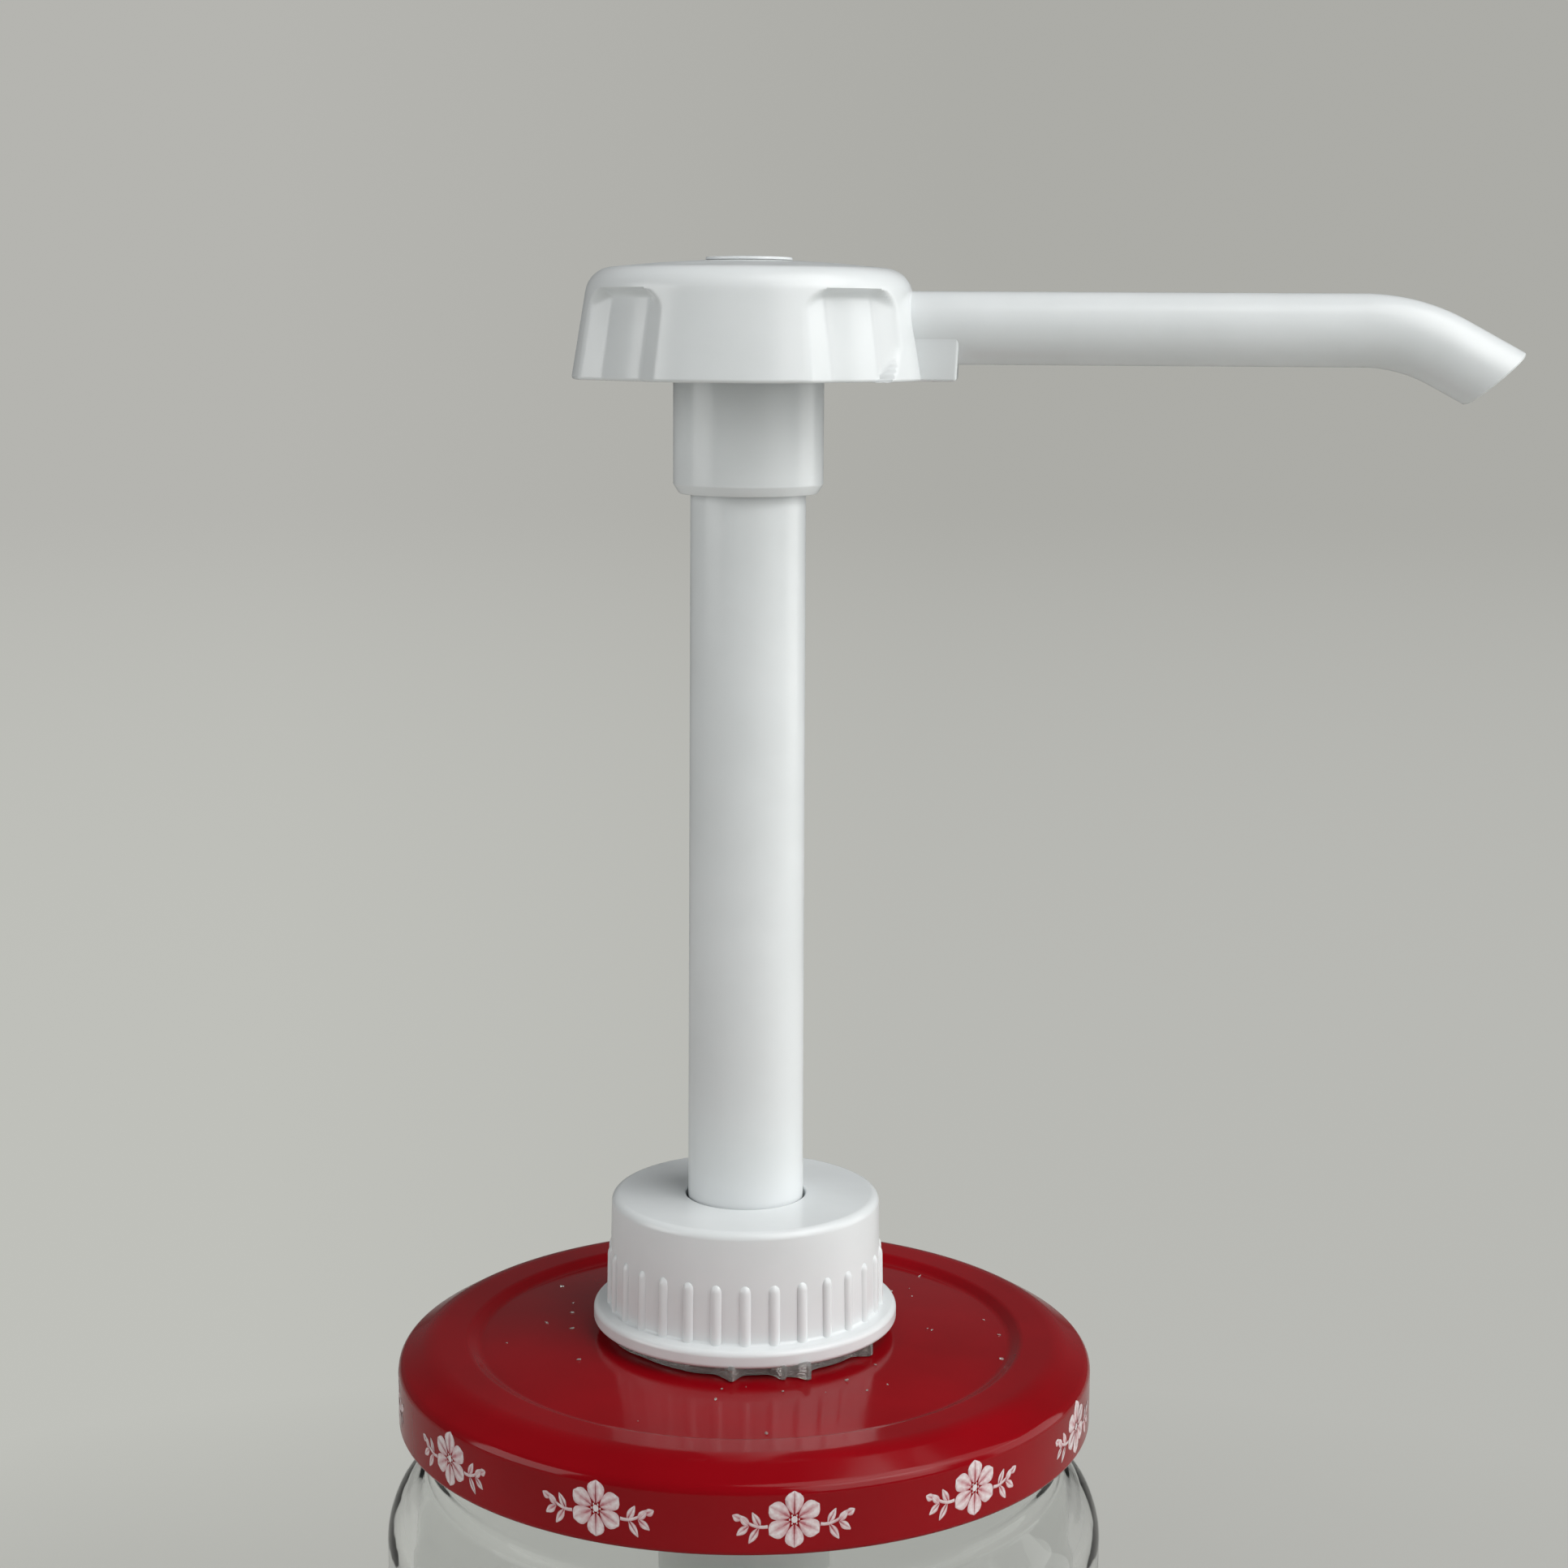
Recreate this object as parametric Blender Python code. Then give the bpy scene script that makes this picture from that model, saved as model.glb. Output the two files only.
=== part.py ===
"""Condiment pump dispenser: a glass jar, a twist-off lid and a long-stroke plunger pump.

Metres, +Z up. The origin is the centre of the jar's flat bottom, on the axis of the pump, and
the spout points along +X. The plunger is up, the lid is seated, and both balls rest on their seats.
"""
import math

import bmesh
import bpy
from mathutils import Matrix, Vector

# ---- Clearances shared by every piece ----
SEAT_GAP = 0.0003          # between two pieces that rest on each other
RUNNING_GAP = 0.0003       # around the stem and the piston seal, which slide

# ---- Glass jar ----
JAR_HEIGHT = 0.1676
JAR_BODY_RADIUS = 0.04385
JAR_WALL = 0.0028
JAR_BASE_THICKNESS = 0.0055
JAR_HEEL_RADIUS = 0.0060
JAR_SHOULDER_RADIUS = 0.0150
JAR_SHOULDER_DEPTH = 0.0195    # rim down to where the body starts to turn in
JAR_FINISH_DEPTH = 0.0147      # rim down to the foot of the straight neck
JAR_FINISH_RADIUS = 0.0389
JAR_MOUTH_WALL = 0.0029
JAR_RIM_ROUND = 0.0010
THREAD_STARTS = 6
THREAD_DEPTH = 0.0018
THREAD_HALF_HEIGHT = 0.0010
THREAD_RISE = 0.0014
THREAD_ARC = math.radians(32.0)
THREAD_DROP = 0.0060           # rim down to the middle of each thread

# ---- Twist-off lid ----
LID_GAUGE = 0.0005
LID_SKIRT_DEPTH = 0.0100
LID_SKIRT_PLAY = 0.00095       # skirt to the crest of the glass thread
LID_SHOULDER_RADIUS = 0.0040
LID_RING_WIDTH = 0.0044        # flat ring over the glass rim
LID_STEP_DEPTH = 0.0008        # ring down to the foot of the panel
LID_STEP_WIDTH = 0.0014
LID_PANEL_RISE = 0.0014        # foot of the panel up to its crown
LID_CROWN_MARGIN = 0.00054     # level metal past the cap's flange
LID_CURL_WIDTH = 0.0012
LID_CURL_HEIGHT = 0.0016
LUG_REACH = 0.0013             # past the curl, under the glass thread
LUG_ARC = math.radians(15.0)
SEAL_THICKNESS = 0.0007
SEAL_OVERHANG = 0.0002         # seal narrower than the ring on each side

# ---- Threaded neck fixed through the lid ----
NECK_WALL = 0.0021
NECK_FLANGE_REACH = 0.0040     # neck's side out to the flange's edge
NECK_FLANGE_THICKNESS = 0.0016
NECK_BEAD_DEPTH = 0.0009
NECK_BEAD_HALF_HEIGHT = 0.0010
NECK_BEAD_DROP = 0.0055        # neck rim down to the middle of the bead
LID_HOLE_PLAY = 0.0004
SEALANT_THICKNESS = 0.0008
GASKET_THICKNESS = 0.0008

# ---- Ribbed closure cap ----
CAP_HEIGHT = 0.0157
CAP_TOP_WALL = 0.0016
CAP_BORE_PLAY = 0.0005         # neck bead to the cap's bore
CAP_EDGE_ROUND = 0.0008
CAP_WALL = 0.0021
CAP_TAPER = 0.0003             # top radius less than the foot's
CAP_FLANGE_REACH = 0.00196     # foot out to the flange's edge
CAP_FLANGE_HEIGHT = 0.0022
CAP_HOLE_PLAY = 0.0004         # stem to the cap's hole
CAP_HOLE_CHAMFER = 0.0003
RIB_COUNT = 30
RIB_RADIUS = 0.0009
RIB_PROUD = 0.0004
RIB_HEIGHT = 0.0073            # flange top up to the rounded rib ends

# ---- Pump barrel ----
BARREL_BORE_RADIUS = 0.0092
BARREL_WALL = 0.0014
BARREL_FLANGE_PLAY = 0.0008    # cap's bore to the flange's edge
BARREL_FLANGE_THICKNESS = 0.0012
CHAMBER_PASSAGE = 0.0020       # room for sauce round the ball
CHAMBER_DEPTH = 0.0080         # bore floor down to the valve seat
SEAT_CONE_RISE = 0.0014
SEAT_OVERLAP = 0.0010          # ball radius less the seat's hole
SEAT_PLATE_THICKNESS = 0.0020
TAIL_LENGTH = 0.0120
TAIL_WALL = 0.0020

# ---- Inlet ball and its cage ----
INLET_BALL_RADIUS = 0.0040
INLET_LIFT = 0.0025
CAGE_RING_WIDTH = 0.0027
CAGE_BAR_HEIGHT = 0.0021
CAGE_BAR_WIDTH = 0.0016

# ---- Dip tube ----
DIP_TUBE_RADIUS = 0.0040
DIP_TUBE_WALL = 0.0011
DIP_TUBE_FLOOR_GAP = 0.0030
DIP_TUBE_CUT = math.radians(25.0)

# ---- Piston ----
PISTON_STROKE = 0.0800
PISTON_PLAY = 0.0012           # bore to the piston's flanges
PISTON_FLANGE_THICKNESS = 0.0015
PISTON_WAIST_DEPTH = 0.0020
PISTON_WAIST_HEIGHT = 0.0070
PISTON_HOLE_RADIUS = 0.0026
PISTON_SPIGOT_HEIGHT = 0.0080
SEAL_LIP_HEIGHT = 0.0010
SEAL_WAIST_DEPTH = 0.0009

# ---- Return spring ----
SPRING_WIRE_RADIUS = 0.00055
SPRING_PLAY = 0.00145          # bore to the outside of the coil
SPRING_TURNS = 14
SPRING_END_PITCH = 0.00165
SPRING_POINTS_PER_TURN = 9
SPRING_SPARE = 0.0015          # left between the turns with the plunger right down

# ---- Stem ----
STEM_FOOT_RADIUS = 0.00695
STEM_DRAW = 0.00025            # top radius less than the foot's
STEM_STRAIGHT = 0.0030         # cap top up to where the stem starts to draw in
STEM_WALL = 0.00195
STEM_CHAMBER_WALL = 0.0011
STEM_CHAMBER_DEPTH = 0.0096
GUIDE_LENGTH = 0.0122
GUIDE_FLANGE_THICKNESS = 0.0007
GUIDE_FLANGE_INSET = 0.0016    # narrower than the barrel's flange

# ---- Collar under the head ----
COLLAR_HEIGHT = 0.0131
COLLAR_WALL = 0.00205
COLLAR_CHAMFER = 0.0007
COLLAR_CHAMFER_HEIGHT = 0.0012

# ---- Outlet valve ----
OUTLET_SEAT_OVERLAP = 0.0008   # ball radius less the seat's hole
OUTLET_SEAT_HEIGHT = 0.0030
OUTLET_SEAT_RIM_RISE = 0.0010
OUTLET_SEAT_RIM_WIDTH = 0.0007
OUTLET_BALL_RADIUS = 0.0030
OUTLET_LIFT = 0.0025

# ---- Pump head ----
HEAD_STOP_GAP = 0.0045         # cap top up to the collar with the plunger right down
HEAD_FOOT_RADIUS = 0.0205
HEAD_DRAFT = math.radians(9.4)
HEAD_CROWN_RISE = 0.0010
HEAD_SHOULDER_ROUND = 0.0028
HEAD_WALL = 0.0044             # ridge to the inner cavity, thinner behind the flutes
HEAD_TOP_WALL = 0.0018
FLUTE_FRONT_ANGLE = math.radians(45.0)   # spout round to the two flutes beside it
FLUTE_REAR_ANGLE = math.radians(135.0)   # spout round to the two flutes behind
FLUTE_RADIUS = 0.0600
FLUTE_DEPTH = 0.0016
FLUTE_MARGIN = 0.0024          # head top down to the rounded flute ends
FLUTE_END_ROUND = 0.0016
CHEEK_HALF_WIDTH_FOOT = 0.0112
CHEEK_HALF_WIDTH_TOP = 0.0044
CHEEK_HEIGHT = 0.0090

# ---- Spout ----
SPOUT_RADIUS = 0.00415
SPOUT_WALL = 0.00155
SPOUT_RISE = 0.00605           # head bottom up to the spout's axis
SPOUT_BEND_START = 0.0700
SPOUT_BEND_RADIUS = 0.0200
SPOUT_BEND_ANGLE = math.radians(28.5)
SPOUT_TIP_LENGTH = 0.0062
SPOUT_TIP_CUT = math.radians(41.5)
SPOUT_WEB_PROUD = 0.0039       # past the head's foot
SPOUT_WEB_INSET = 0.0002       # web narrower than the tube on each side
CORE_INSET = 0.00015           # narrower than the collar
CORE_SOCKET_DEPTH = 0.0026
CORE_CHANNEL_PLAY = 0.0006     # outlet ball to the channel's side

# ---- Plug on top of the head ----
PLUG_RIM_WIDTH = 0.0014
PLUG_THICKNESS = 0.0005
PLUG_BUNG_LENGTH = 0.0044
PLUG_STALK_RADIUS = 0.0010

# ---- Facets ----
LARGE_SEGMENTS = 44
MEDIUM_SEGMENTS = 30
SMALL_SEGMENTS = 22
ARC_STEP = math.radians(30.0)


def seated_height(hole_radius, ball_radius):
    """Height of a ball's centre over the round hole that it rests on, one seat gap off its edge."""
    return math.sqrt((ball_radius + SEAT_GAP) ** 2 - hole_radius ** 2)


# ---- Heights worked out from the sizes above ----
LID_TOP = JAR_HEIGHT + 2 * SEAT_GAP + SEAL_THICKNESS + LID_GAUGE
LID_BOTTOM = LID_TOP - LID_SKIRT_DEPTH
LID_PANEL_FOOT = LID_TOP - LID_STEP_DEPTH
LID_CROWN = LID_PANEL_FOOT + LID_PANEL_RISE
CAP_BOTTOM = LID_CROWN + 2 * SEAT_GAP + SEALANT_THICKNESS
CAP_TOP = CAP_BOTTOM + CAP_HEIGHT
GUIDE_TOP = CAP_TOP - CAP_TOP_WALL - SEAT_GAP
BARREL_TOP = GUIDE_TOP - GUIDE_FLANGE_THICKNESS - SEAT_GAP
GASKET_TOP = BARREL_TOP - BARREL_FLANGE_THICKNESS - SEAT_GAP
NECK_TOP = GASKET_TOP - GASKET_THICKNESS - SEAT_GAP
NECK_FLANGE_TOP = LID_CROWN - LID_GAUGE - SEAT_GAP
STEM_TAPER_START = CAP_TOP + STEM_STRAIGHT
COLLAR_BOTTOM = CAP_TOP + PISTON_STROKE + HEAD_STOP_GAP
COLLAR_TOP = COLLAR_BOTTOM + COLLAR_HEIGHT
HEAD_BOTTOM = COLLAR_TOP
SPOUT_AXIS = HEAD_BOTTOM + SPOUT_RISE
CORE_BOTTOM = COLLAR_TOP + SEAT_GAP
CORE_TOP = SPOUT_AXIS + SPOUT_RADIUS
HEAD_TOP = CORE_TOP + 2 * SEAT_GAP + HEAD_TOP_WALL
HEAD_HEIGHT = HEAD_TOP - HEAD_BOTTOM
FLUTE_TOP = HEAD_HEIGHT - FLUTE_MARGIN
STEM_TOP = CORE_BOTTOM + CORE_SOCKET_DEPTH - SEAT_GAP
GUIDE_BOTTOM = BARREL_TOP + SEAT_GAP - GUIDE_LENGTH
PISTON_FLANGE_TOP = GUIDE_BOTTOM - SEAT_GAP
PISTON_WAIST_TOP = PISTON_FLANGE_TOP - PISTON_FLANGE_THICKNESS
PISTON_WAIST_BOTTOM = PISTON_WAIST_TOP - PISTON_WAIST_HEIGHT
PISTON_BOTTOM = PISTON_WAIST_BOTTOM - PISTON_FLANGE_THICKNESS
STEM_BOTTOM = PISTON_FLANGE_TOP + SEAT_GAP
SEAT_HOLE_RADIUS = INLET_BALL_RADIUS - SEAT_OVERLAP
OUTLET_SEAT_HOLE_RADIUS = OUTLET_BALL_RADIUS - OUTLET_SEAT_OVERLAP
SPRING_SHORTEST = (SPRING_TURNS + 1) * 2 * SPRING_WIRE_RADIUS + SPRING_SPARE
CAGE_TOP = PISTON_BOTTOM - PISTON_STROKE - SPRING_SHORTEST
CAGE_BAR_BOTTOM = CAGE_TOP - CAGE_BAR_HEIGHT
INLET_BALL_Z = CAGE_BAR_BOTTOM - SEAT_GAP - INLET_LIFT - INLET_BALL_RADIUS
INLET_SEAT = INLET_BALL_Z - seated_height(SEAT_HOLE_RADIUS, INLET_BALL_RADIUS)
BARREL_BORE_FLOOR = INLET_SEAT + CHAMBER_DEPTH
TAIL_TOP = INLET_SEAT - SEAT_PLATE_THICKNESS
TAIL_BOTTOM = TAIL_TOP - TAIL_LENGTH
OUTLET_SEAT_BOTTOM = STEM_TOP - STEM_CHAMBER_DEPTH + SEAT_GAP
OUTLET_SEAT = OUTLET_SEAT_BOTTOM + OUTLET_SEAT_HEIGHT
OUTLET_BALL_Z = OUTLET_SEAT + seated_height(OUTLET_SEAT_HOLE_RADIUS, OUTLET_BALL_RADIUS)
PLUG_STALK_BOTTOM = OUTLET_BALL_Z + OUTLET_BALL_RADIUS + OUTLET_LIFT + SEAT_GAP

# ---- Radii worked out from the sizes above ----
JAR_MOUTH_RADIUS = JAR_FINISH_RADIUS - JAR_MOUTH_WALL
BARREL_RADIUS = BARREL_BORE_RADIUS + BARREL_WALL
NECK_BORE_RADIUS = BARREL_RADIUS + SEAT_GAP
NECK_RADIUS = NECK_BORE_RADIUS + NECK_WALL
NECK_FLANGE_RADIUS = NECK_RADIUS + NECK_FLANGE_REACH
CAP_BORE_RADIUS = NECK_RADIUS + NECK_BEAD_DEPTH + CAP_BORE_PLAY
CAP_FOOT_RADIUS = CAP_BORE_RADIUS + CAP_WALL
CAP_TOP_RADIUS = CAP_FOOT_RADIUS - CAP_TAPER
CAP_FLANGE_RADIUS = CAP_FOOT_RADIUS + CAP_FLANGE_REACH
CAP_HOLE_RADIUS = STEM_FOOT_RADIUS + CAP_HOLE_PLAY
LID_RADIUS = JAR_FINISH_RADIUS + THREAD_DEPTH + LID_SKIRT_PLAY + LID_GAUGE
LID_RING_INNER = LID_RADIUS - LID_SHOULDER_RADIUS - LID_RING_WIDTH
LID_PANEL_RADIUS = LID_RING_INNER - LID_STEP_WIDTH
LID_CROWN_RADIUS = CAP_FLANGE_RADIUS + LID_CROWN_MARGIN
LID_HOLE_RADIUS = NECK_RADIUS + LID_HOLE_PLAY
BARREL_FLANGE_RADIUS = CAP_BORE_RADIUS - BARREL_FLANGE_PLAY
CHAMBER_RADIUS = INLET_BALL_RADIUS + CHAMBER_PASSAGE
TAIL_SOCKET_RADIUS = DIP_TUBE_RADIUS + SEAT_GAP
PISTON_FLANGE_RADIUS = BARREL_BORE_RADIUS - PISTON_PLAY
PISTON_WAIST_RADIUS = PISTON_FLANGE_RADIUS - PISTON_WAIST_DEPTH
SPRING_MEAN_RADIUS = BARREL_BORE_RADIUS - SPRING_PLAY - SPRING_WIRE_RADIUS
STEM_TOP_RADIUS = STEM_FOOT_RADIUS - STEM_DRAW
STEM_BORE_RADIUS = STEM_FOOT_RADIUS - STEM_WALL
STEM_CHAMBER_RADIUS = STEM_TOP_RADIUS - STEM_CHAMBER_WALL
STEM_GUIDE_RADIUS = STEM_FOOT_RADIUS + RUNNING_GAP
GUIDE_FLANGE_RADIUS = BARREL_FLANGE_RADIUS - GUIDE_FLANGE_INSET
COLLAR_RADIUS = STEM_TOP_RADIUS + COLLAR_WALL
CORE_RADIUS = COLLAR_RADIUS - CORE_INSET
CORE_SOCKET_RADIUS = STEM_TOP_RADIUS + SEAT_GAP
CORE_CHANNEL_RADIUS = OUTLET_BALL_RADIUS + CORE_CHANNEL_PLAY
PLUG_RADIUS = CORE_CHANNEL_RADIUS + PLUG_RIM_WIDTH
SPOUT_BORE_RADIUS = SPOUT_RADIUS - SPOUT_WALL
SPOUT_WEB_REACH = HEAD_FOOT_RADIUS + SPOUT_WEB_PROUD
HEAD_CAVITY_RADIUS = HEAD_FOOT_RADIUS - HEAD_WALL


# ---- Materials ----
def material(name, color, roughness, metallic=0.0, transmission=0.0):
    """A Principled finish shared by the pieces of one material."""
    finish = bpy.data.materials.new(name)
    finish.use_nodes = True
    shader = finish.node_tree.nodes["Principled BSDF"]
    shader.inputs["Base Color"].default_value = (*color, 1.0)
    shader.inputs["Roughness"].default_value = roughness
    shader.inputs["Metallic"].default_value = metallic
    shader.inputs["Transmission Weight"].default_value = transmission
    return finish


# ---- Shape helpers ----
def filleted(points):
    """Outline of (r, z) or (r, z, fillet) corners, each fillet turned into an arc.

    A fillet is limited to the room that its two sides leave.
    """
    outline = []
    for index, corner in enumerate(points):
        here = Vector(corner[:2])
        fillet = corner[2] if len(corner) > 2 else 0.0
        if not fillet or index in (0, len(points) - 1):
            outline.append(here)
            continue
        back = Vector(points[index - 1][:2]) - here
        ahead = Vector(points[index + 1][:2]) - here
        half = back.angle(ahead) / 2
        run = min(fillet / math.tan(half), 0.48 * back.length, 0.48 * ahead.length)
        radius = run * math.tan(half)
        middle = (back.normalized() + ahead.normalized()).normalized()
        centre = here + middle * (radius / math.sin(half))
        start = here + back.normalized() * run - centre
        end = here + ahead.normalized() * run - centre
        sweep = start.angle_signed(end)
        steps = max(1, round(abs(sweep) / ARC_STEP))
        for step in range(steps + 1):
            outline.append(centre + Matrix.Rotation(-sweep * step / steps, 2) @ start)
    return outline


def inset_outline(outline, distance):
    """The open outline moved to its right-hand side by an even distance."""
    moved = []
    for index, point in enumerate(outline):
        before = point - outline[index - 1] if index else outline[1] - point
        after = outline[index + 1] - point if index < len(outline) - 1 else before
        normals = [Vector((leg.y, -leg.x)).normalized() for leg in (before, after)]
        miter = (normals[0] + normals[1]).normalized()
        moved.append(point + miter * (distance / miter.dot(normals[0])))
    return moved


def link(name, bm, finish, smooth=True):
    """Turn a finished bmesh into a named object with its faces pointing out."""
    bmesh.ops.remove_doubles(bm, verts=bm.verts, dist=1e-7)
    bmesh.ops.recalc_face_normals(bm, faces=bm.faces)
    mesh = bpy.data.meshes.new(name)
    bm.to_mesh(mesh)
    bm.free()
    obj = bpy.data.objects.new(name, mesh)
    bpy.context.scene.collection.objects.link(obj)
    if finish:
        mesh.materials.append(finish)
    if smooth:
        mesh.shade_smooth()
        mesh.set_sharp_from_angle(angle=math.radians(35.0))
    return obj


def turned(name, outline, finish, segments, closed=True):
    """Turn an (r, z) outline about Z; a closed outline is a ring, an open one ends on the axis."""
    bm = bmesh.new()
    verts = [bm.verts.new((point[0], 0.0, point[1])) for point in outline]
    edges = [bm.edges.new(pair) for pair in zip(verts, verts[1:])]
    if closed:
        edges.append(bm.edges.new((verts[-1], verts[0])))
    bmesh.ops.spin(bm, geom=verts + edges, cent=(0, 0, 0), axis=(0, 0, 1), angle=math.tau,
                   steps=segments, use_merge=True, use_duplicate=False)
    bmesh.ops.dissolve_degenerate(bm, dist=1e-7, edges=bm.edges)
    return link(name, bm, finish)


def box(name, low, high):
    """A plain block between two corners."""
    bm = bmesh.new()
    bmesh.ops.create_cube(bm, size=1.0)
    size = Vector(high) - Vector(low)
    centre = (Vector(high) + Vector(low)) / 2
    bmesh.ops.scale(bm, vec=size, verts=bm.verts)
    bmesh.ops.translate(bm, vec=centre, verts=bm.verts)
    return link(name, bm, None, smooth=False)


def prism(name, outline, near, far):
    """Extrude a (y, z) outline along X from near to far."""
    bm = bmesh.new()
    face = bm.faces.new([bm.verts.new((near, y, z)) for y, z in outline])
    grown = bmesh.ops.extrude_face_region(bm, geom=[face])
    moved = [item for item in grown["geom"] if isinstance(item, bmesh.types.BMVert)]
    bmesh.ops.translate(bm, vec=(far - near, 0, 0), verts=moved)
    return link(name, bm, None, smooth=False)


def swept(name, path, radius, sides, finish=None):
    """A round bar of even radius along a path in the XZ plane, with flat ends."""
    bm = bmesh.new()
    rings = []
    for index, point in enumerate(path):
        before = path[max(index - 1, 0)]
        after = path[min(index + 1, len(path) - 1)]
        along = (after - before).normalized()
        up = Vector((-along.z, 0.0, along.x))
        side = Vector((0.0, 1.0, 0.0))
        ring = []
        for step in range(sides):
            angle = math.tau * step / sides
            ring.append(bm.verts.new(point + radius * (math.cos(angle) * side + math.sin(angle) * up)))
        rings.append(ring)
    for low, high in zip(rings, rings[1:]):
        for step in range(sides):
            following = (step + 1) % sides
            bm.faces.new((low[step], low[following], high[following], high[step]))
    bm.faces.new(rings[0])
    bm.faces.new(rings[-1])
    return link(name, bm, finish)


def stack_rings(bm, centre, levels, segments):
    """A closed upright solid of round (radius, z) levels about a centre, with flat ends."""
    rings = []
    for radius, height in levels:
        ring = []
        for step in range(segments):
            angle = math.tau * step / segments
            ring.append(bm.verts.new(centre + Vector((radius * math.cos(angle),
                                                      radius * math.sin(angle), height))))
        rings.append(ring)
    for low, high in zip(rings, rings[1:]):
        for step in range(segments):
            following = (step + 1) % segments
            bm.faces.new((low[step], low[following], high[following], high[step]))
    bm.faces.new(rings[0])
    bm.faces.new(rings[-1])


def arc_ribs(name, count, arc, offset, inner, outer, middle, half_height, rise=0.0, steps=5):
    """Short ribs round the Z axis, each climbing by rise along its arc."""
    bm = bmesh.new()
    for index in range(count):
        start = offset + math.tau * index / count - arc / 2
        rings = []
        for step in range(steps + 1):
            angle = start + arc * step / steps
            lift = middle + rise * (step / steps - 0.5)
            corners = [(inner, lift - half_height), (outer, lift - half_height / 2),
                       (outer, lift + half_height / 2), (inner, lift + half_height)]
            rings.append([bm.verts.new((r * math.cos(angle), r * math.sin(angle), z)) for r, z in corners])
        for low, high in zip(rings, rings[1:]):
            for corner in range(4):
                following = (corner + 1) % 4
                bm.faces.new((low[corner], low[following], high[following], high[corner]))
        bm.faces.new(rings[0])
        bm.faces.new(rings[-1])
    return link(name, bm, None, smooth=False)


def boolean(body, tool, operation):
    """Cut or join a hidden tool on a body."""
    modifier = body.modifiers.new(tool.name, "BOOLEAN")
    modifier.operation = operation
    modifier.solver = "EXACT"
    modifier.object = tool
    tool.hide_render = True
    tool.display_type = "WIRE"


def cut(body, *tools):
    """Take each tool away from the body."""
    for tool in tools:
        boolean(body, tool, "DIFFERENCE")


def join(body, *tools):
    """Fuse each tool into the body."""
    for tool in tools:
        boolean(body, tool, "UNION")


def body_frame(name, height, *pieces):
    """An empty on the pump's axis that carries the pieces of one moving body."""
    frame = bpy.data.objects.new(name, None)
    frame.location = (0.0, 0.0, height)
    bpy.context.scene.collection.objects.link(frame)
    for piece in pieces:
        piece.parent = frame
        piece.matrix_parent_inverse = Matrix.Translation((0.0, 0.0, -height))
    return frame


# ---- Jar ----
def make_jar(glass):
    """The glass jar: heel, straight body, rounded shoulder and a finish with lug threads."""
    corner = JAR_HEIGHT - JAR_SHOULDER_DEPTH
    neck_foot = JAR_HEIGHT - JAR_FINISH_DEPTH
    inner_body = JAR_BODY_RADIUS - JAR_WALL
    outline = filleted([
        (0.0, 0.0), (JAR_BODY_RADIUS, 0.0, JAR_HEEL_RADIUS),
        (JAR_BODY_RADIUS, corner, JAR_SHOULDER_RADIUS), (JAR_FINISH_RADIUS, neck_foot, JAR_RIM_ROUND),
        (JAR_FINISH_RADIUS, JAR_HEIGHT, JAR_RIM_ROUND), (JAR_MOUTH_RADIUS, JAR_HEIGHT, JAR_RIM_ROUND),
        (JAR_MOUTH_RADIUS, neck_foot, JAR_RIM_ROUND),
        (inner_body, corner - JAR_WALL / 4, JAR_SHOULDER_RADIUS - JAR_WALL),
        (inner_body, JAR_BASE_THICKNESS, JAR_HEEL_RADIUS - JAR_WALL / 2), (0.0, JAR_BASE_THICKNESS),
    ])
    jar = turned("jar_glass", outline, glass, LARGE_SEGMENTS, closed=False)
    threads = arc_ribs("jar_threads", THREAD_STARTS, THREAD_ARC, 0.0, JAR_FINISH_RADIUS - JAR_RIM_ROUND,
                       JAR_FINISH_RADIUS + THREAD_DEPTH, JAR_HEIGHT - THREAD_DROP, THREAD_HALF_HEIGHT,
                       rise=THREAD_RISE)
    join(jar, threads)
    return jar


# ---- Lid and what is fixed to it ----
def make_lid(enamel):
    """The pressed lid: hole, crowned panel, step, ring, shoulder, skirt, curl and lugs."""
    outer = filleted([
        (LID_HOLE_RADIUS, LID_CROWN), (LID_CROWN_RADIUS, LID_CROWN, 0.02),
        (LID_PANEL_RADIUS, LID_PANEL_FOOT, 0.0012), (LID_RING_INNER, LID_TOP, 0.0012),
        (LID_RADIUS, LID_TOP, LID_SHOULDER_RADIUS), (LID_RADIUS, LID_BOTTOM),
    ])
    inner = inset_outline(outer, LID_GAUGE)
    curl_inside = LID_RADIUS - LID_CURL_WIDTH
    curl_top = LID_BOTTOM + LID_CURL_HEIGHT
    curl = [Vector((curl_inside, LID_BOTTOM)), Vector((curl_inside, curl_top)),
            Vector((LID_RADIUS - LID_GAUGE, curl_top + LID_GAUGE))]
    lid = turned("jar_lid", outer + curl + inner[-2::-1], enamel, LARGE_SEGMENTS)
    lugs = arc_ribs("lid_lugs", THREAD_STARTS, LUG_ARC, math.pi / THREAD_STARTS, curl_inside - LUG_REACH,
                    LID_RADIUS - LID_CURL_WIDTH / 2, LID_BOTTOM + LID_CURL_HEIGHT / 2,
                    LID_CURL_HEIGHT / 2 - 0.0001, steps=3)
    join(lid, lugs)
    return lid


def make_lid_seal(compound):
    """The flat ring of sealing compound between the lid and the glass rim."""
    low = JAR_HEIGHT + SEAT_GAP
    inner = JAR_MOUTH_RADIUS + SEAL_OVERHANG
    outer = JAR_FINISH_RADIUS - SEAL_OVERHANG
    high = low + SEAL_THICKNESS
    return turned("lid_seal_ring", [(inner, low), (outer, low), (outer, high), (inner, high)],
                  compound, LARGE_SEGMENTS)


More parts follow.
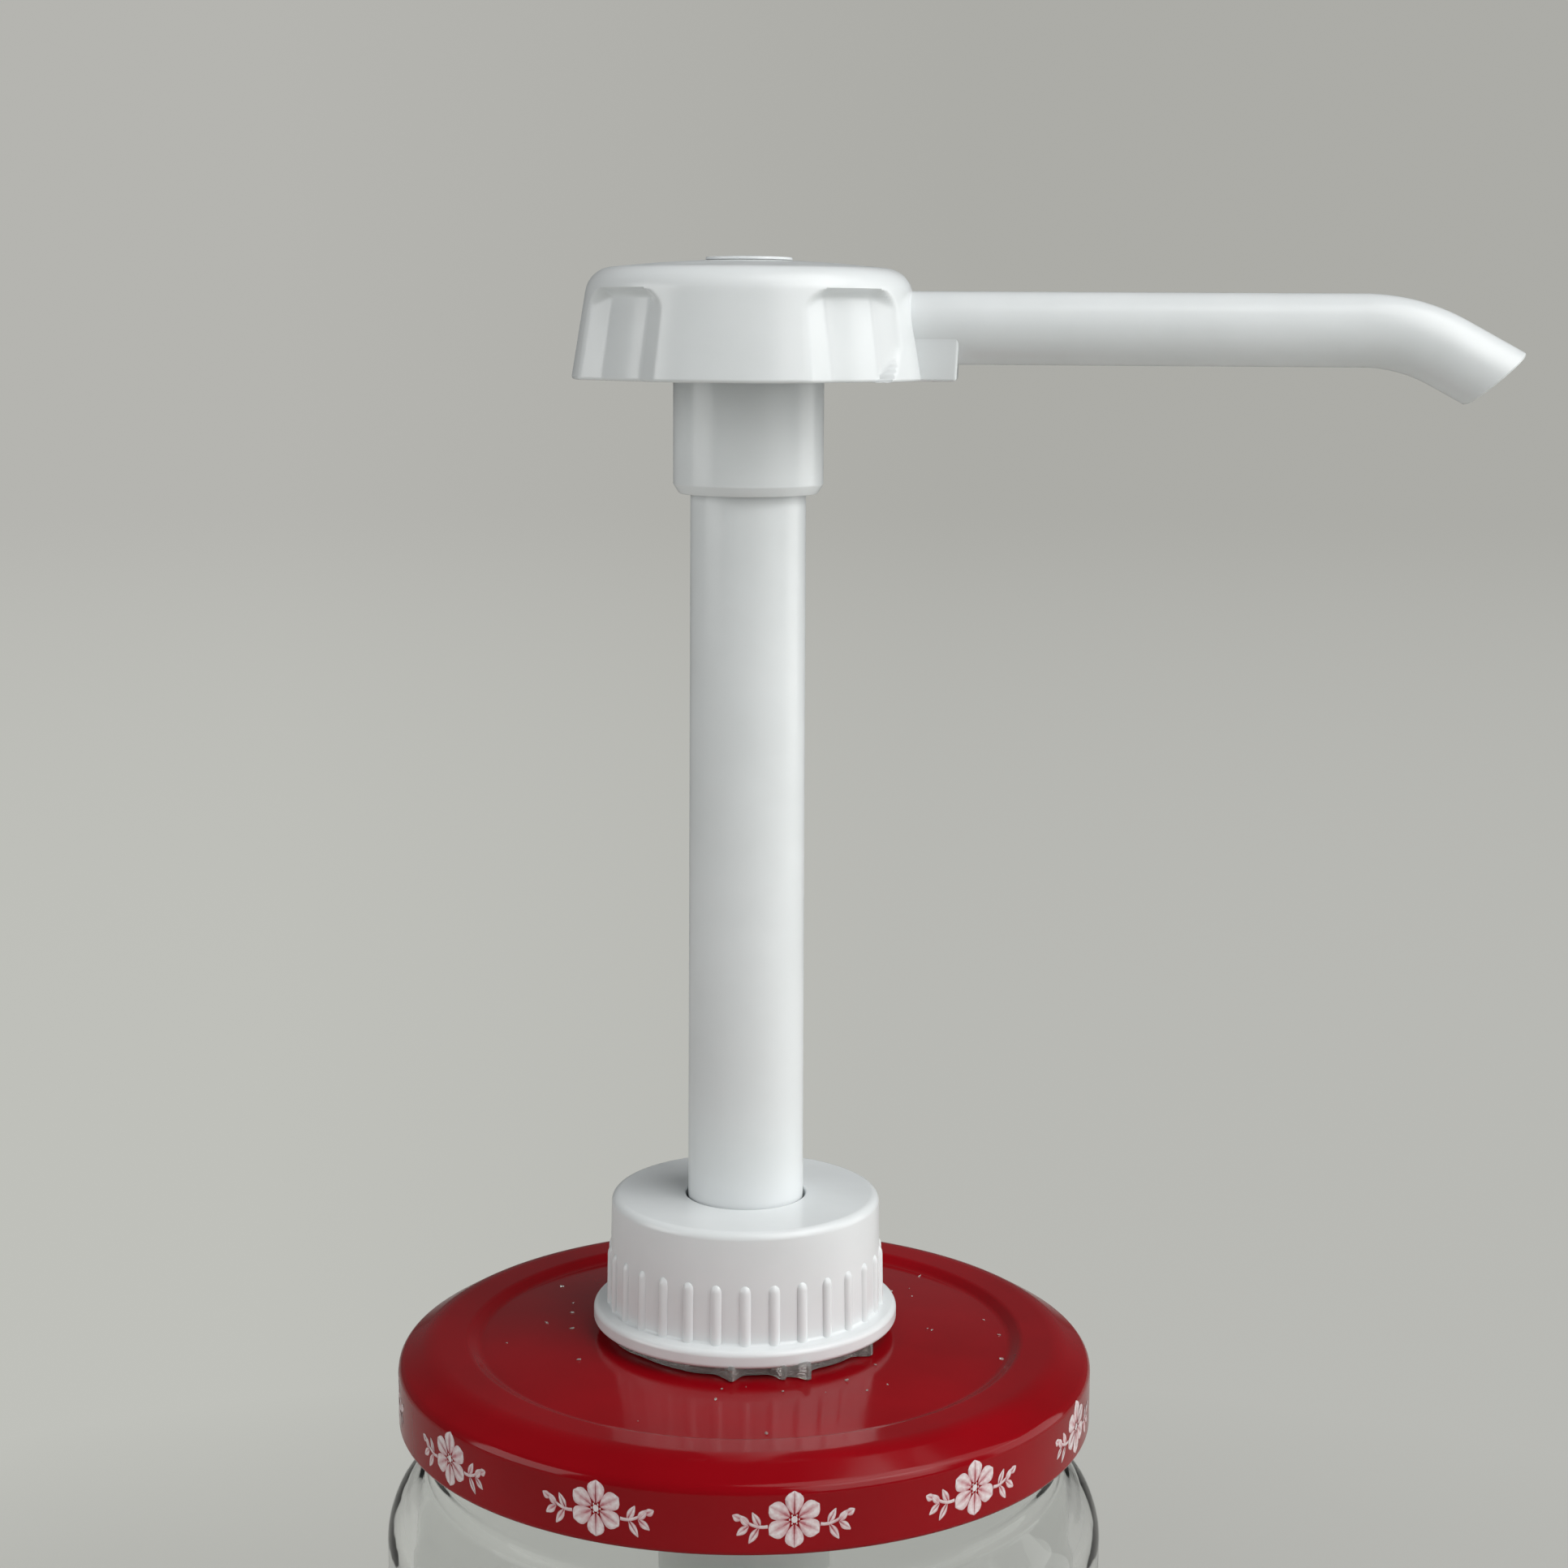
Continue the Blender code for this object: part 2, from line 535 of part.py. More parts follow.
def make_neck(plastic):
    """The neck that stands through the lid's hole, with its flange under the panel."""
    flange_bottom = NECK_FLANGE_TOP - NECK_FLANGE_THICKNESS
    bead = NECK_TOP - NECK_BEAD_DROP
    outline = [
        (NECK_BORE_RADIUS, flange_bottom), (NECK_FLANGE_RADIUS, flange_bottom),
        (NECK_FLANGE_RADIUS, NECK_FLANGE_TOP), (NECK_RADIUS, NECK_FLANGE_TOP),
        (NECK_RADIUS, bead - NECK_BEAD_HALF_HEIGHT), (NECK_RADIUS + NECK_BEAD_DEPTH, bead),
        (NECK_RADIUS, bead + NECK_BEAD_HALF_HEIGHT), (NECK_RADIUS, NECK_TOP), (NECK_BORE_RADIUS, NECK_TOP),
    ]
    return turned("neck_fitting", outline, plastic, MEDIUM_SEGMENTS)


def make_sealant(clear):
    """The bed of clear sealant between the lid's panel and the cap's flange."""
    low = LID_CROWN + SEAT_GAP
    inner = CAP_BORE_RADIUS - CAP_WALL / 4
    outer = CAP_FLANGE_RADIUS - SEALANT_THICKNESS / 2
    high = low + SEALANT_THICKNESS
    return turned("sealant_bed", [(inner, low), (outer, low), (outer, high), (inner, high)],
                  clear, MEDIUM_SEGMENTS)


def make_gasket(rubber):
    """The washer between the neck's rim and the barrel's flange."""
    inner = BARREL_RADIUS + SEAT_GAP
    outer = BARREL_FLANGE_RADIUS - SEAT_GAP
    low = GASKET_TOP - GASKET_THICKNESS
    return turned("neck_gasket", [(inner, low), (outer, low), (outer, GASKET_TOP), (inner, GASKET_TOP)],
                  rubber, MEDIUM_SEGMENTS)


def make_cap(plastic):
    """The closure cap: flanged foot, grip ribs, rounded top edge and the hole for the stem."""
    flange_top = CAP_BOTTOM + CAP_FLANGE_HEIGHT
    outline = filleted([
        (CAP_BORE_RADIUS, CAP_TOP - CAP_TOP_WALL), (CAP_HOLE_RADIUS, CAP_TOP - CAP_TOP_WALL),
        (CAP_HOLE_RADIUS, CAP_TOP - CAP_HOLE_CHAMFER), (CAP_HOLE_RADIUS + CAP_HOLE_CHAMFER, CAP_TOP),
        (CAP_TOP_RADIUS, CAP_TOP, CAP_EDGE_ROUND), (CAP_FOOT_RADIUS, flange_top),
        (CAP_FLANGE_RADIUS, flange_top, CAP_EDGE_ROUND),
        (CAP_FLANGE_RADIUS, CAP_BOTTOM, CAP_EDGE_ROUND / 2), (CAP_BORE_RADIUS, CAP_BOTTOM),
    ])
    cap = turned("closure_cap", outline, plastic, MEDIUM_SEGMENTS)
    rib_foot = flange_top - CAP_FLANGE_HEIGHT / 2
    rib_top = flange_top + RIB_HEIGHT
    shoulder = rib_top - RIB_RADIUS
    middle = CAP_FOOT_RADIUS + RIB_PROUD - RIB_RADIUS
    bm = bmesh.new()
    for index in range(RIB_COUNT):
        angle = math.tau * index / RIB_COUNT
        centre = Vector((middle * math.cos(angle), middle * math.sin(angle), 0.0))
        stack_rings(bm, centre, [(RIB_RADIUS, rib_foot), (RIB_RADIUS, shoulder),
                                 (RIB_RADIUS / 2, rib_top - RIB_RADIUS / 6)], 8)
    join(cap, link("cap_ribs", bm, None, smooth=False))
    return cap


# ---- Pump barrel and inlet valve ----
def make_barrel(plastic):
    """The barrel: hanging flange, bore, ball chamber, valve seat and the dip tube's socket."""
    shoulder = INLET_SEAT + SEAT_CONE_RISE
    tail_radius = TAIL_SOCKET_RADIUS + TAIL_WALL
    outline = [
        (BARREL_BORE_RADIUS, BARREL_TOP), (BARREL_FLANGE_RADIUS, BARREL_TOP),
        (BARREL_FLANGE_RADIUS, BARREL_TOP - BARREL_FLANGE_THICKNESS),
        (BARREL_RADIUS, BARREL_TOP - BARREL_FLANGE_THICKNESS), (BARREL_RADIUS, shoulder),
        (tail_radius, TAIL_TOP), (tail_radius, TAIL_BOTTOM), (TAIL_SOCKET_RADIUS, TAIL_BOTTOM),
        (TAIL_SOCKET_RADIUS, TAIL_TOP), (SEAT_HOLE_RADIUS, TAIL_TOP), (SEAT_HOLE_RADIUS, INLET_SEAT),
        (CHAMBER_RADIUS, shoulder), (CHAMBER_RADIUS, BARREL_BORE_FLOOR),
        (BARREL_BORE_RADIUS, BARREL_BORE_FLOOR),
    ]
    return turned("pump_barrel", outline, plastic, MEDIUM_SEGMENTS)


def make_cage(plastic):
    """The cage over the inlet ball: a ring that carries the spring, with two crossed bars."""
    outer = BARREL_BORE_RADIUS - SEAT_GAP
    inner = outer - CAGE_RING_WIDTH
    low = BARREL_BORE_FLOOR + SEAT_GAP
    cage = turned("ball_cage", [(inner, low), (outer, low), (outer, CAGE_TOP), (inner, CAGE_TOP)],
                  plastic, MEDIUM_SEGMENTS)
    reach = inner + CAGE_RING_WIDTH / 2
    half = CAGE_BAR_WIDTH / 2
    level = CAGE_TOP - CAGE_BAR_HEIGHT / 20
    join(cage, box("cage_bar_x", (-reach, -half, CAGE_BAR_BOTTOM), (reach, half, level)),
         box("cage_bar_y", (-half, -reach, CAGE_BAR_BOTTOM), (half, reach, level)))
    return cage


def make_ball(name, radius, height, steel):
    """A valve ball on the pump's axis."""
    bm = bmesh.new()
    bmesh.ops.create_icosphere(bm, subdivisions=2, radius=radius)
    ball = link(name, bm, steel)
    ball.location = (0.0, 0.0, height)
    return ball


def make_dip_tube(plastic):
    """The dip tube, pushed into the barrel's tail and cut at a slant near the jar's floor."""
    bottom = JAR_BASE_THICKNESS + DIP_TUBE_FLOOR_GAP
    top = TAIL_TOP - SEAT_GAP
    bore = DIP_TUBE_RADIUS - DIP_TUBE_WALL
    outline = [(bore, bottom), (DIP_TUBE_RADIUS, bottom), (DIP_TUBE_RADIUS, top), (bore, top)]
    tube = turned("dip_tube", outline, plastic, SMALL_SEGMENTS)
    rise = 2 * DIP_TUBE_RADIUS * math.tan(DIP_TUBE_CUT)
    reach = DIP_TUBE_RADIUS * 1.2
    side = reach / DIP_TUBE_RADIUS
    middle = bottom + rise / 2
    wedge = [(-reach, middle - side * rise / 2), (reach, middle + side * rise / 2),
             (reach, bottom - rise), (-reach, bottom - rise)]
    cut(tube, prism("dip_tube_slant", wedge, -reach, reach))
    return tube


# ---- Piston and return spring ----
def make_piston_core(plastic):
    """The piston's core: a spigot up into the stem, two flanges and a waist between them."""
    spigot = STEM_BORE_RADIUS - SEAT_GAP
    outline = [
        (PISTON_HOLE_RADIUS, PISTON_BOTTOM), (PISTON_FLANGE_RADIUS, PISTON_BOTTOM),
        (PISTON_FLANGE_RADIUS, PISTON_WAIST_BOTTOM), (PISTON_WAIST_RADIUS, PISTON_WAIST_BOTTOM),
        (PISTON_WAIST_RADIUS, PISTON_WAIST_TOP), (PISTON_FLANGE_RADIUS, PISTON_WAIST_TOP),
        (PISTON_FLANGE_RADIUS, PISTON_FLANGE_TOP), (spigot, PISTON_FLANGE_TOP),
        (spigot, PISTON_FLANGE_TOP + PISTON_SPIGOT_HEIGHT),
        (PISTON_HOLE_RADIUS, PISTON_FLANGE_TOP + PISTON_SPIGOT_HEIGHT),
    ]
    return turned("piston_core", outline, plastic, SMALL_SEGMENTS)


def make_piston_seal(plastic):
    """The soft seal round the piston's waist, with a lip at each end."""
    low = PISTON_WAIST_BOTTOM + SEAT_GAP
    high = PISTON_WAIST_TOP - SEAT_GAP
    inner = PISTON_WAIST_RADIUS + SEAT_GAP
    lip = BARREL_BORE_RADIUS - RUNNING_GAP
    waist = lip - SEAL_WAIST_DEPTH
    outline = [
        (inner, low), (lip, low), (lip, low + SEAL_LIP_HEIGHT), (waist, low + 2 * SEAL_LIP_HEIGHT),
        (waist, high - 2 * SEAL_LIP_HEIGHT), (lip, high - SEAL_LIP_HEIGHT), (lip, high), (inner, high),
    ]
    return turned("piston_seal", outline, plastic, MEDIUM_SEGMENTS)


def make_spring(steel):
    """The return spring: one wire wound between the ball cage and the piston, closer at its ends."""
    low = CAGE_TOP + SEAT_GAP + SPRING_WIRE_RADIUS
    high = PISTON_BOTTOM - SEAT_GAP - SPRING_WIRE_RADIUS
    middle_turns = SPRING_TURNS - 2
    middle_pitch = (high - low - 2 * SPRING_END_PITCH) / middle_turns
    heights = [low, low + SPRING_END_PITCH]
    heights += [heights[1] + middle_pitch * turn for turn in range(1, middle_turns + 1)]
    heights.append(high)
    points = []
    for step in range(SPRING_TURNS * SPRING_POINTS_PER_TURN + 1):
        turn, part = divmod(step, SPRING_POINTS_PER_TURN)
        share = part / SPRING_POINTS_PER_TURN
        following = heights[min(turn + 1, SPRING_TURNS)]
        height = heights[turn] + (following - heights[turn]) * share
        angle = math.tau * step / SPRING_POINTS_PER_TURN
        points.append(Vector((SPRING_MEAN_RADIUS * math.cos(angle),
                              SPRING_MEAN_RADIUS * math.sin(angle), height)))
    turn_apart = SPRING_POINTS_PER_TURN // 2
    nearest = min((points[i] - points[j]).length for i in range(len(points))
                  for j in range(i + turn_apart, len(points)))
    print(f"return_spring: least gap to itself {(nearest - 2 * SPRING_WIRE_RADIUS) * 1000:.2f} mm")
    wire = bpy.data.curves.new("return_spring", "CURVE")
    wire.dimensions = "3D"
    wire.bevel_depth = SPRING_WIRE_RADIUS
    wire.bevel_resolution = 1
    wire.use_fill_caps = True
    wire.materials.append(steel)
    spline = wire.splines.new("POLY")
    spline.points.add(len(points) - 1)
    for slot, point in zip(spline.points, points):
        slot.co = (*point, 1.0)
    spring = bpy.data.objects.new("return_spring", wire)
    bpy.context.scene.collection.objects.link(spring)
    return spring


# ---- Stem, guide and collar ----
def stem_radius(height):
    """Outer radius of the stem, which is drawn in towards its top."""
    share = (height - STEM_TAPER_START) / (STEM_TOP - STEM_TAPER_START)
    return STEM_FOOT_RADIUS + (STEM_TOP_RADIUS - STEM_FOOT_RADIUS) * min(max(share, 0.0), 1.0)


def make_stem(plastic):
    """The hollow stem, wider in its bore at the top where the outlet valve sits."""
    step = STEM_TOP - STEM_CHAMBER_DEPTH
    outline = [
        (STEM_BORE_RADIUS, STEM_BOTTOM), (STEM_FOOT_RADIUS, STEM_BOTTOM),
        (STEM_FOOT_RADIUS, STEM_TAPER_START), (STEM_TOP_RADIUS, STEM_TOP),
        (STEM_CHAMBER_RADIUS, STEM_TOP), (STEM_CHAMBER_RADIUS, step), (STEM_BORE_RADIUS, step),
    ]
    return turned("stem", outline, plastic, MEDIUM_SEGMENTS)


def make_guide(plastic):
    """The guide bush in the barrel's mouth, which centres the stem and stops the piston."""
    top = BARREL_TOP + SEAT_GAP
    outer = BARREL_BORE_RADIUS - SEAT_GAP
    outline = [
        (STEM_GUIDE_RADIUS, GUIDE_BOTTOM), (outer, GUIDE_BOTTOM), (outer, top),
        (GUIDE_FLANGE_RADIUS, top), (GUIDE_FLANGE_RADIUS, GUIDE_TOP), (STEM_GUIDE_RADIUS, GUIDE_TOP),
    ]
    return turned("stem_guide", outline, plastic, MEDIUM_SEGMENTS)


def make_collar(plastic):
    """The sleeve round the stem's top, chamfered at its foot."""
    bore = stem_radius(COLLAR_BOTTOM) + SEAT_GAP
    outline = [
        (bore, COLLAR_BOTTOM), (COLLAR_RADIUS - COLLAR_CHAMFER, COLLAR_BOTTOM),
        (COLLAR_RADIUS, COLLAR_BOTTOM + COLLAR_CHAMFER_HEIGHT), (COLLAR_RADIUS, COLLAR_TOP),
        (bore, COLLAR_TOP),
    ]
    return turned("stem_collar", outline, plastic, MEDIUM_SEGMENTS)


def make_outlet_seat(plastic):
    """The insert in the stem's top that the outlet ball closes."""
    outer = STEM_CHAMBER_RADIUS - SEAT_GAP
    rim = OUTLET_SEAT + OUTLET_SEAT_RIM_RISE
    outline = [
        (OUTLET_SEAT_HOLE_RADIUS, OUTLET_SEAT_BOTTOM), (outer, OUTLET_SEAT_BOTTOM), (outer, rim),
        (outer - OUTLET_SEAT_RIM_WIDTH, rim), (OUTLET_SEAT_HOLE_RADIUS, OUTLET_SEAT),
    ]
    return turned("outlet_seat", outline, plastic, SMALL_SEGMENTS)


# ---- Head, spout and plug ----
def spout_path(start, end_extra):
    """Centre line of the spout: straight along X, one bend down and a short straight tip."""
    centre = Vector((SPOUT_BEND_START, 0.0, SPOUT_AXIS - SPOUT_BEND_RADIUS))
    path = [Vector((start, 0.0, SPOUT_AXIS))]
    steps = 6
    for step in range(steps + 1):
        angle = SPOUT_BEND_ANGLE * step / steps
        path.append(centre + SPOUT_BEND_RADIUS * Vector((math.sin(angle), 0.0, math.cos(angle))))
    along = Vector((math.cos(SPOUT_BEND_ANGLE), 0.0, -math.sin(SPOUT_BEND_ANGLE)))
    path.append(path[-1] + along * (SPOUT_TIP_LENGTH + end_extra))
    return path


def make_spout(plastic):
    """The inner core over the stem and the spout that grows out of it, moulded in one."""
    tip = spout_path(0.0, 0.0)[-1]
    core_outline = [(0.0, CORE_BOTTOM), (CORE_RADIUS, CORE_BOTTOM), (CORE_RADIUS, CORE_TOP),
                    (0.0, CORE_TOP)]
    spout = turned("spout", core_outline, plastic, MEDIUM_SEGMENTS, closed=False)
    tube = swept("spout_tube", spout_path(CORE_RADIUS / 4, 2 * SPOUT_RADIUS), SPOUT_RADIUS, MEDIUM_SEGMENTS)
    half_web = SPOUT_RADIUS - SPOUT_WEB_INSET
    web = prism("spout_web", [(-half_web, HEAD_BOTTOM), (half_web, HEAD_BOTTOM),
                              (half_web, SPOUT_AXIS), (-half_web, SPOUT_AXIS)],
                COLLAR_RADIUS + SPOUT_RADIUS / 2, SPOUT_WEB_REACH)
    join(spout, tube, web)
    channel = turned("spout_channel", [
        (0.0, CORE_BOTTOM - CORE_SOCKET_DEPTH), (CORE_SOCKET_RADIUS, CORE_BOTTOM - CORE_SOCKET_DEPTH),
        (CORE_SOCKET_RADIUS, CORE_BOTTOM + CORE_SOCKET_DEPTH),
        (CORE_CHANNEL_RADIUS, CORE_BOTTOM + CORE_SOCKET_DEPTH),
        (CORE_CHANNEL_RADIUS, CORE_TOP + CORE_SOCKET_DEPTH), (0.0, CORE_TOP + CORE_SOCKET_DEPTH),
    ], None, SMALL_SEGMENTS, closed=False)
    bore = swept("spout_bore", spout_path(0.0, 3 * SPOUT_RADIUS), SPOUT_BORE_RADIUS, SMALL_SEGMENTS)
    knife = box("spout_knife", (0.0, -2 * SPOUT_RADIUS, -2 * SPOUT_TIP_LENGTH),
                (4 * SPOUT_RADIUS, 2 * SPOUT_RADIUS, 2 * SPOUT_TIP_LENGTH))
    knife.location = tip
    knife.rotation_euler = (0.0, math.pi / 2 - SPOUT_TIP_CUT, 0.0)
    cut(spout, channel, bore, knife)
    return spout


def make_head(plastic):
    """The fluted knob: drafted sides, rounded shoulder, four flutes, cheeks and the spout's slot."""
    lean = math.tan(HEAD_DRAFT)
    shoulder_radius = HEAD_FOOT_RADIUS - HEAD_HEIGHT * lean
    cavity_top = HEAD_TOP - HEAD_TOP_WALL
    cavity_radius = HEAD_CAVITY_RADIUS - (cavity_top - HEAD_BOTTOM) * lean
    outline = filleted([
        (CORE_CHANNEL_RADIUS, cavity_top), (cavity_radius, cavity_top, HEAD_WALL / 3),
        (HEAD_CAVITY_RADIUS, HEAD_BOTTOM), (HEAD_FOOT_RADIUS, HEAD_BOTTOM),
        (shoulder_radius, HEAD_TOP, HEAD_SHOULDER_ROUND),
        (PLUG_RADIUS, HEAD_TOP + HEAD_CROWN_RISE), (CORE_CHANNEL_RADIUS, HEAD_TOP + HEAD_CROWN_RISE),
    ])
    head = turned("pump_head", outline, plastic, LARGE_SEGMENTS)

    flutes = bmesh.new()
    flute_outline = filleted([
        (0.0, -FLUTE_TOP), (FLUTE_RADIUS, -FLUTE_TOP), (FLUTE_RADIUS, FLUTE_TOP, FLUTE_END_ROUND),
        (0.0, FLUTE_TOP),
    ])[1:-1]
    for angle in (FLUTE_FRONT_ANGLE, FLUTE_REAR_ANGLE, -FLUTE_FRONT_ANGLE, -FLUTE_REAR_ANGLE):
        before = len(flutes.verts)
        stack_rings(flutes, Vector(), flute_outline, LARGE_SEGMENTS)
        flutes.verts.ensure_lookup_table()
        deepest = Matrix.Translation((HEAD_FOOT_RADIUS - FLUTE_DEPTH, 0.0, HEAD_BOTTOM))
        place = (Matrix.Rotation(angle, 4, "Z") @ deepest @ Matrix.Rotation(-HEAD_DRAFT, 4, "Y")
                 @ Matrix.Translation((FLUTE_RADIUS, 0.0, 0.0)))
        bmesh.ops.transform(flutes, matrix=place, verts=flutes.verts[before:])
        flutes.verts.index_update()
    flute_tool = link("head_flutes", flutes, None, smooth=False)
    slope = (CHEEK_HALF_WIDTH_FOOT - CHEEK_HALF_WIDTH_TOP) / CHEEK_HEIGHT
    half_foot = CHEEK_HALF_WIDTH_FOOT + slope * CHEEK_HEIGHT
    foot, top = HEAD_BOTTOM - CHEEK_HEIGHT, HEAD_BOTTOM + CHEEK_HEIGHT
    cheek = prism("spout_cheek", [(-half_foot, foot), (half_foot, foot), (CHEEK_HALF_WIDTH_TOP, top),
                                  (-CHEEK_HALF_WIDTH_TOP, top)], 0.0, 2 * HEAD_FOOT_RADIUS)
    cut(flute_tool, cheek)

    half_slot = SPOUT_RADIUS + SEAT_GAP
    slot_outline = [(-half_slot, HEAD_BOTTOM - HEAD_WALL), (half_slot, HEAD_BOTTOM - HEAD_WALL)]
    arch_steps = 12
    for step in range(arch_steps + 1):
        angle = math.pi * step / arch_steps
        slot_outline.append((half_slot * math.cos(angle), SPOUT_AXIS + half_slot * math.sin(angle)))
    slot = prism("spout_slot", slot_outline, CORE_RADIUS, 2 * HEAD_FOOT_RADIUS)
    cut(head, flute_tool, slot)
    return head


def make_plug(plastic):
    """The plug that closes the core from above: disc, bung and the stalk that stops the ball."""
    bung_top = HEAD_TOP + HEAD_CROWN_RISE + SEAT_GAP
    bung_bottom = bung_top - PLUG_BUNG_LENGTH
    bung_radius = CORE_CHANNEL_RADIUS - SEAT_GAP
    outline = filleted([
        (0.0, PLUG_STALK_BOTTOM), (PLUG_STALK_RADIUS, PLUG_STALK_BOTTOM), (PLUG_STALK_RADIUS, bung_bottom),
        (bung_radius, bung_bottom), (bung_radius, bung_top), (PLUG_RADIUS, bung_top),
        (PLUG_RADIUS, bung_top + PLUG_THICKNESS, PLUG_THICKNESS / 2), (0.0, bung_top + PLUG_THICKNESS),
    ])
    return turned("head_plug", outline, plastic, SMALL_SEGMENTS, closed=False)


def main():
    """Build every piece and hang the moving ones on empties on the pump's axis."""
    for old in list(bpy.data.objects):
        bpy.data.objects.remove(old)
    glass = material("clear_glass", (0.86, 0.90, 0.88), 0.03, transmission=1.0)
    enamel = material("red_enamel", (0.36, 0.004, 0.012), 0.12)
    compound = material("seal_compound", (0.72, 0.70, 0.64), 0.55)
    white = material("white_plastic", (0.86, 0.87, 0.87), 0.22)
    natural = material("natural_plastic", (0.74, 0.76, 0.75), 0.35)
    sealant = material("clear_sealant", (0.80, 0.82, 0.80), 0.15, transmission=0.8)
    rubber = material("grey_rubber", (0.32, 0.33, 0.34), 0.60)
    steel = material("stainless_steel", (0.62, 0.62, 0.63), 0.18, metallic=1.0)

    make_jar(glass)
    fixed = [make_lid(enamel), make_lid_seal(compound), make_neck(white), make_sealant(sealant),
             make_gasket(rubber), make_cap(white), make_barrel(natural), make_guide(white),
             make_cage(natural), make_dip_tube(natural), make_spring(steel)]
    sliding = [make_piston_core(white), make_piston_seal(natural)]
    turning = [make_stem(white), make_collar(white), make_outlet_seat(natural), make_spout(white),
               make_head(white), make_plug(white)]
    inlet_ball = make_ball("inlet_ball", INLET_BALL_RADIUS, INLET_BALL_Z, steel)
    outlet_ball = make_ball("outlet_ball", OUTLET_BALL_RADIUS, OUTLET_BALL_Z, steel)

    lid_frame = body_frame("lid_frame", LID_BOTTOM, *fixed, inlet_ball)
    plunger_frame = body_frame("plunger_frame", PISTON_BOTTOM, *sliding)
    head_frame = body_frame("head_frame", COLLAR_BOTTOM, *turning, outlet_ball)
    bpy.context.view_layer.update()
    for child, parent in ((plunger_frame, lid_frame), (head_frame, plunger_frame)):
        child.parent = parent
        child.matrix_parent_inverse = parent.matrix_world.inverted()


main()
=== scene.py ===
"""Condiment pump dispenser: a glass jar, a printed red twist-off lid and a white plunger pump.

Metres, +Z up. The pump's axis is Z, the spout points along +X, and the jar stands on Z = 0.
"""
from __future__ import annotations

import logging
import math
from collections.abc import Callable, Sequence
from dataclasses import dataclass
from enum import Enum
from typing import Any

import bmesh
import bpy
from mathutils import Matrix, Vector, noise


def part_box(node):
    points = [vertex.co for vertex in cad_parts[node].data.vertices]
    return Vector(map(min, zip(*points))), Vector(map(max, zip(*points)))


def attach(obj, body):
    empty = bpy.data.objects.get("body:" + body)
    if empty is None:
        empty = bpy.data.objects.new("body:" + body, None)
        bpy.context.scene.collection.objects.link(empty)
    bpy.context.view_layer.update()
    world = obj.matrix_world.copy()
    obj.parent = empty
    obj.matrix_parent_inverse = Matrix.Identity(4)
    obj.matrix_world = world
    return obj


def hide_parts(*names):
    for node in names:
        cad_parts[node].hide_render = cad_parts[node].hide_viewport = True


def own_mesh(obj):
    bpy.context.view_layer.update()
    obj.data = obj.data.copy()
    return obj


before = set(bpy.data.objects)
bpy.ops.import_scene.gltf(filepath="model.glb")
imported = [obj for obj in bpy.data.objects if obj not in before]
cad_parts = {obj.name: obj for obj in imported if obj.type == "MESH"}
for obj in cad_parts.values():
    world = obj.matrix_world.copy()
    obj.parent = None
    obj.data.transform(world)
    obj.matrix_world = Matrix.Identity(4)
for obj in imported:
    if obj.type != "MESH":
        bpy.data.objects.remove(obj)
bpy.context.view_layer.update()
LOG = logging.getLogger("condiment_pump")

Outline = list[Vector]
Colour = tuple[float, float, float]
Span = tuple[float, float]
Socket = bpy.types.NodeSocket
Tone = Colour | Socket
Piece = bpy.types.Object
Mesh = bmesh.types.BMesh
Vert = bmesh.types.BMVert
Layer = bmesh.types.BMLayerItem


class Body(Enum):
    """The rigid bodies of the pump."""

    JAR = "jar"
    LID = "lid"
    PISTON = "piston"
    HEAD = "head"
    INLET_BALL = "inlet_ball"
    OUTLET_BALL = "outlet_ball"


class Slot(Enum):
    """The material slots of the record."""

    GLASS = "clear_glass"
    ENAMEL = "red_enamel"
    COMPOUND = "seal_compound"
    WHITE = "white_plastic"
    NATURAL = "natural_plastic"
    SEALANT = "clear_sealant"
    RUBBER = "grey_rubber"
    STEEL = "stainless_steel"


class Sides(Enum):
    """Number of flats round a turned piece."""

    TUBE = 64
    MEDIUM = 96
    FINE = 192
    FINEST = 288


